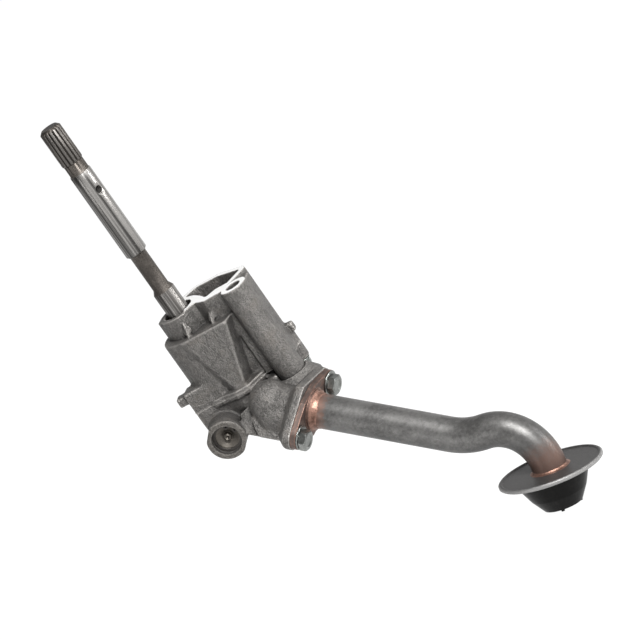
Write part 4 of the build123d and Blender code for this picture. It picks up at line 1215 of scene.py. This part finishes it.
def add_lamp(stage, name, watts, bearing, height, distance, size):
    """Area lamp aimed at the target. Bearing, from the camera's, and height are in degrees."""
    lamp = bpy.data.lights.new(name, "AREA")
    lamp.shape = "RECTANGLE"
    lamp.size, lamp.size_y = size
    lamp.energy = watts
    holder = linked(name, lamp)
    toward = direction(stage.azimuth + radians(bearing), radians(height))
    holder.location = Vector(stage.target) + toward * distance
    holder.rotation_euler = toward.to_track_quat("Z", "Y").to_euler()


def pale_floor():
    """Floor that shows as white and still takes a soft shadow."""
    finish = Finish("pale_floor")
    finish.set(Base_Color=(0.9, 0.9, 0.9), Roughness=0.9)
    glow = finish.node(
        "ShaderNodeEmission", values={"Color": (1, 1, 1), "Strength": FLOOR_GLOW})
    direct, glossy, passed = (
        finish.node("ShaderNodeLightPath", output=f"Is {ray} Ray")
        for ray in ("Camera", "Glossy", "Transmission"))
    lit = Wire(finish, finish.shader.outputs["BSDF"])
    seen = (direct + glossy + passed).clamped()
    blend = finish.node("ShaderNodeMixShader", values={0: seen * FLOOR_SHARE, 1: lit, 2: glow})
    finish.feed(finish.output.inputs["Surface"], blend)
    return finish.material


def add_floor():
    """Flat floor just under the lowest point of the pump."""
    shape = bmesh.new()
    bmesh.ops.create_grid(shape, x_segments=2, y_segments=2, size=FLOOR_HALF)
    mesh = bpy.data.meshes.new("floor")
    shape.to_mesh(mesh)
    shape.free()
    mesh.materials.append(pale_floor())
    floor = linked("floor", mesh)
    floor.location = (0, 0, cad_box[0][2] - FLOOR_GAP)


def studio_world(stage):
    """White round the horizon and below it, under a darker ceiling, and dimmer on the left."""
    world = bpy.data.worlds.new("studio")
    world.use_nodes = True
    build = Build(world.node_tree)
    toward = build.node("ShaderNodeTexCoord", output="Generated")
    right = (cos(stage.azimuth), sin(stage.azimuth), 0)
    ceiling = build.part(toward, "Z").rise(
        sin(stage.ceiling_start), sin(stage.ceiling_end), stage.horizon_level, stage.ceiling_level)
    dim = build.vector("DOT_PRODUCT", toward, right, "Value").rise(*DIM_SIDE, stage.left_level)
    background = build.tree.nodes["Background"]
    build.feed(background.inputs["Color"], (1, 1, 1))
    build.feed(background.inputs["Strength"], ceiling * dim)
    return world


class PUMP_OT_stage(bpy.types.Operator):
    """Set the floor, the lamps, the world and the camera"""

    bl_idname = "oil_pump.stage"
    bl_label = "Studio"

    def execute(self, context):
        stage = context.scene.oil_pump_stage
        add_floor()
        context.scene.world = studio_world(stage)
        add_lamp(stage, "key", stage.key_power,
                 bearing=22, height=44, distance=1.3, size=(0.50, 0.36))
        add_lamp(stage, "strip_right", stage.fill_power,
                 bearing=74, height=6, distance=1.1, size=(0.16, 0.60))
        add_lamp(stage, "strip_left", stage.fill_power * LEFT_FILL,
                 bearing=-52, height=4, distance=1.1, size=(0.08, 0.60))
        add_camera(stage)
        context.scene.view_settings.view_transform = "Standard"
        return {"FINISHED"}


# ---- add-on
PIECES = (
    PUMP_OT_castings,
    PUMP_OT_shaft,
    PUMP_OT_relief_valve,
    PUMP_OT_fasteners,
    PUMP_OT_suction_tube,
    PUMP_OT_strainer,
    PUMP_OT_stage,
)
GROUPS = {
    "oil_pump_finish": FinishSettings,
    "oil_pump_detail": DetailSettings,
    "oil_pump_stage": StageSettings,
}


class PUMP_PT_panel(bpy.types.Panel):
    """Lists the pump's operators and settings"""

    bl_idname = "PUMP_PT_panel"
    bl_label = "Oil Pump"
    bl_space_type = "VIEW_3D"
    bl_region_type = "UI"
    bl_category = "Oil Pump"

    def draw(self, context):
        for piece in PIECES:
            self.layout.operator(piece.bl_idname)
        for name, kind in GROUPS.items():
            for key in kind.__annotations__:
                self.layout.prop(getattr(context.scene, name), key)


def register():
    """Adds the classes and the scene's settings."""
    for kind in (*GROUPS.values(), *PIECES, PUMP_PT_panel):
        bpy.utils.register_class(kind)
    for name, kind in GROUPS.items():
        setattr(bpy.types.Scene, name, PointerProperty(type=kind))


def unregister():
    """Takes the settings and the classes away again."""
    for name in GROUPS:
        delattr(bpy.types.Scene, name)
    for kind in (PUMP_PT_panel, *reversed(PIECES), *GROUPS.values()):
        bpy.utils.unregister_class(kind)


def main():
    """Makes every piece in order."""
    register()
    for piece in PIECES:
        getattr(bpy.ops.oil_pump, piece.bl_idname.split(".")[1])()


if __name__ == "__main__":
    main()
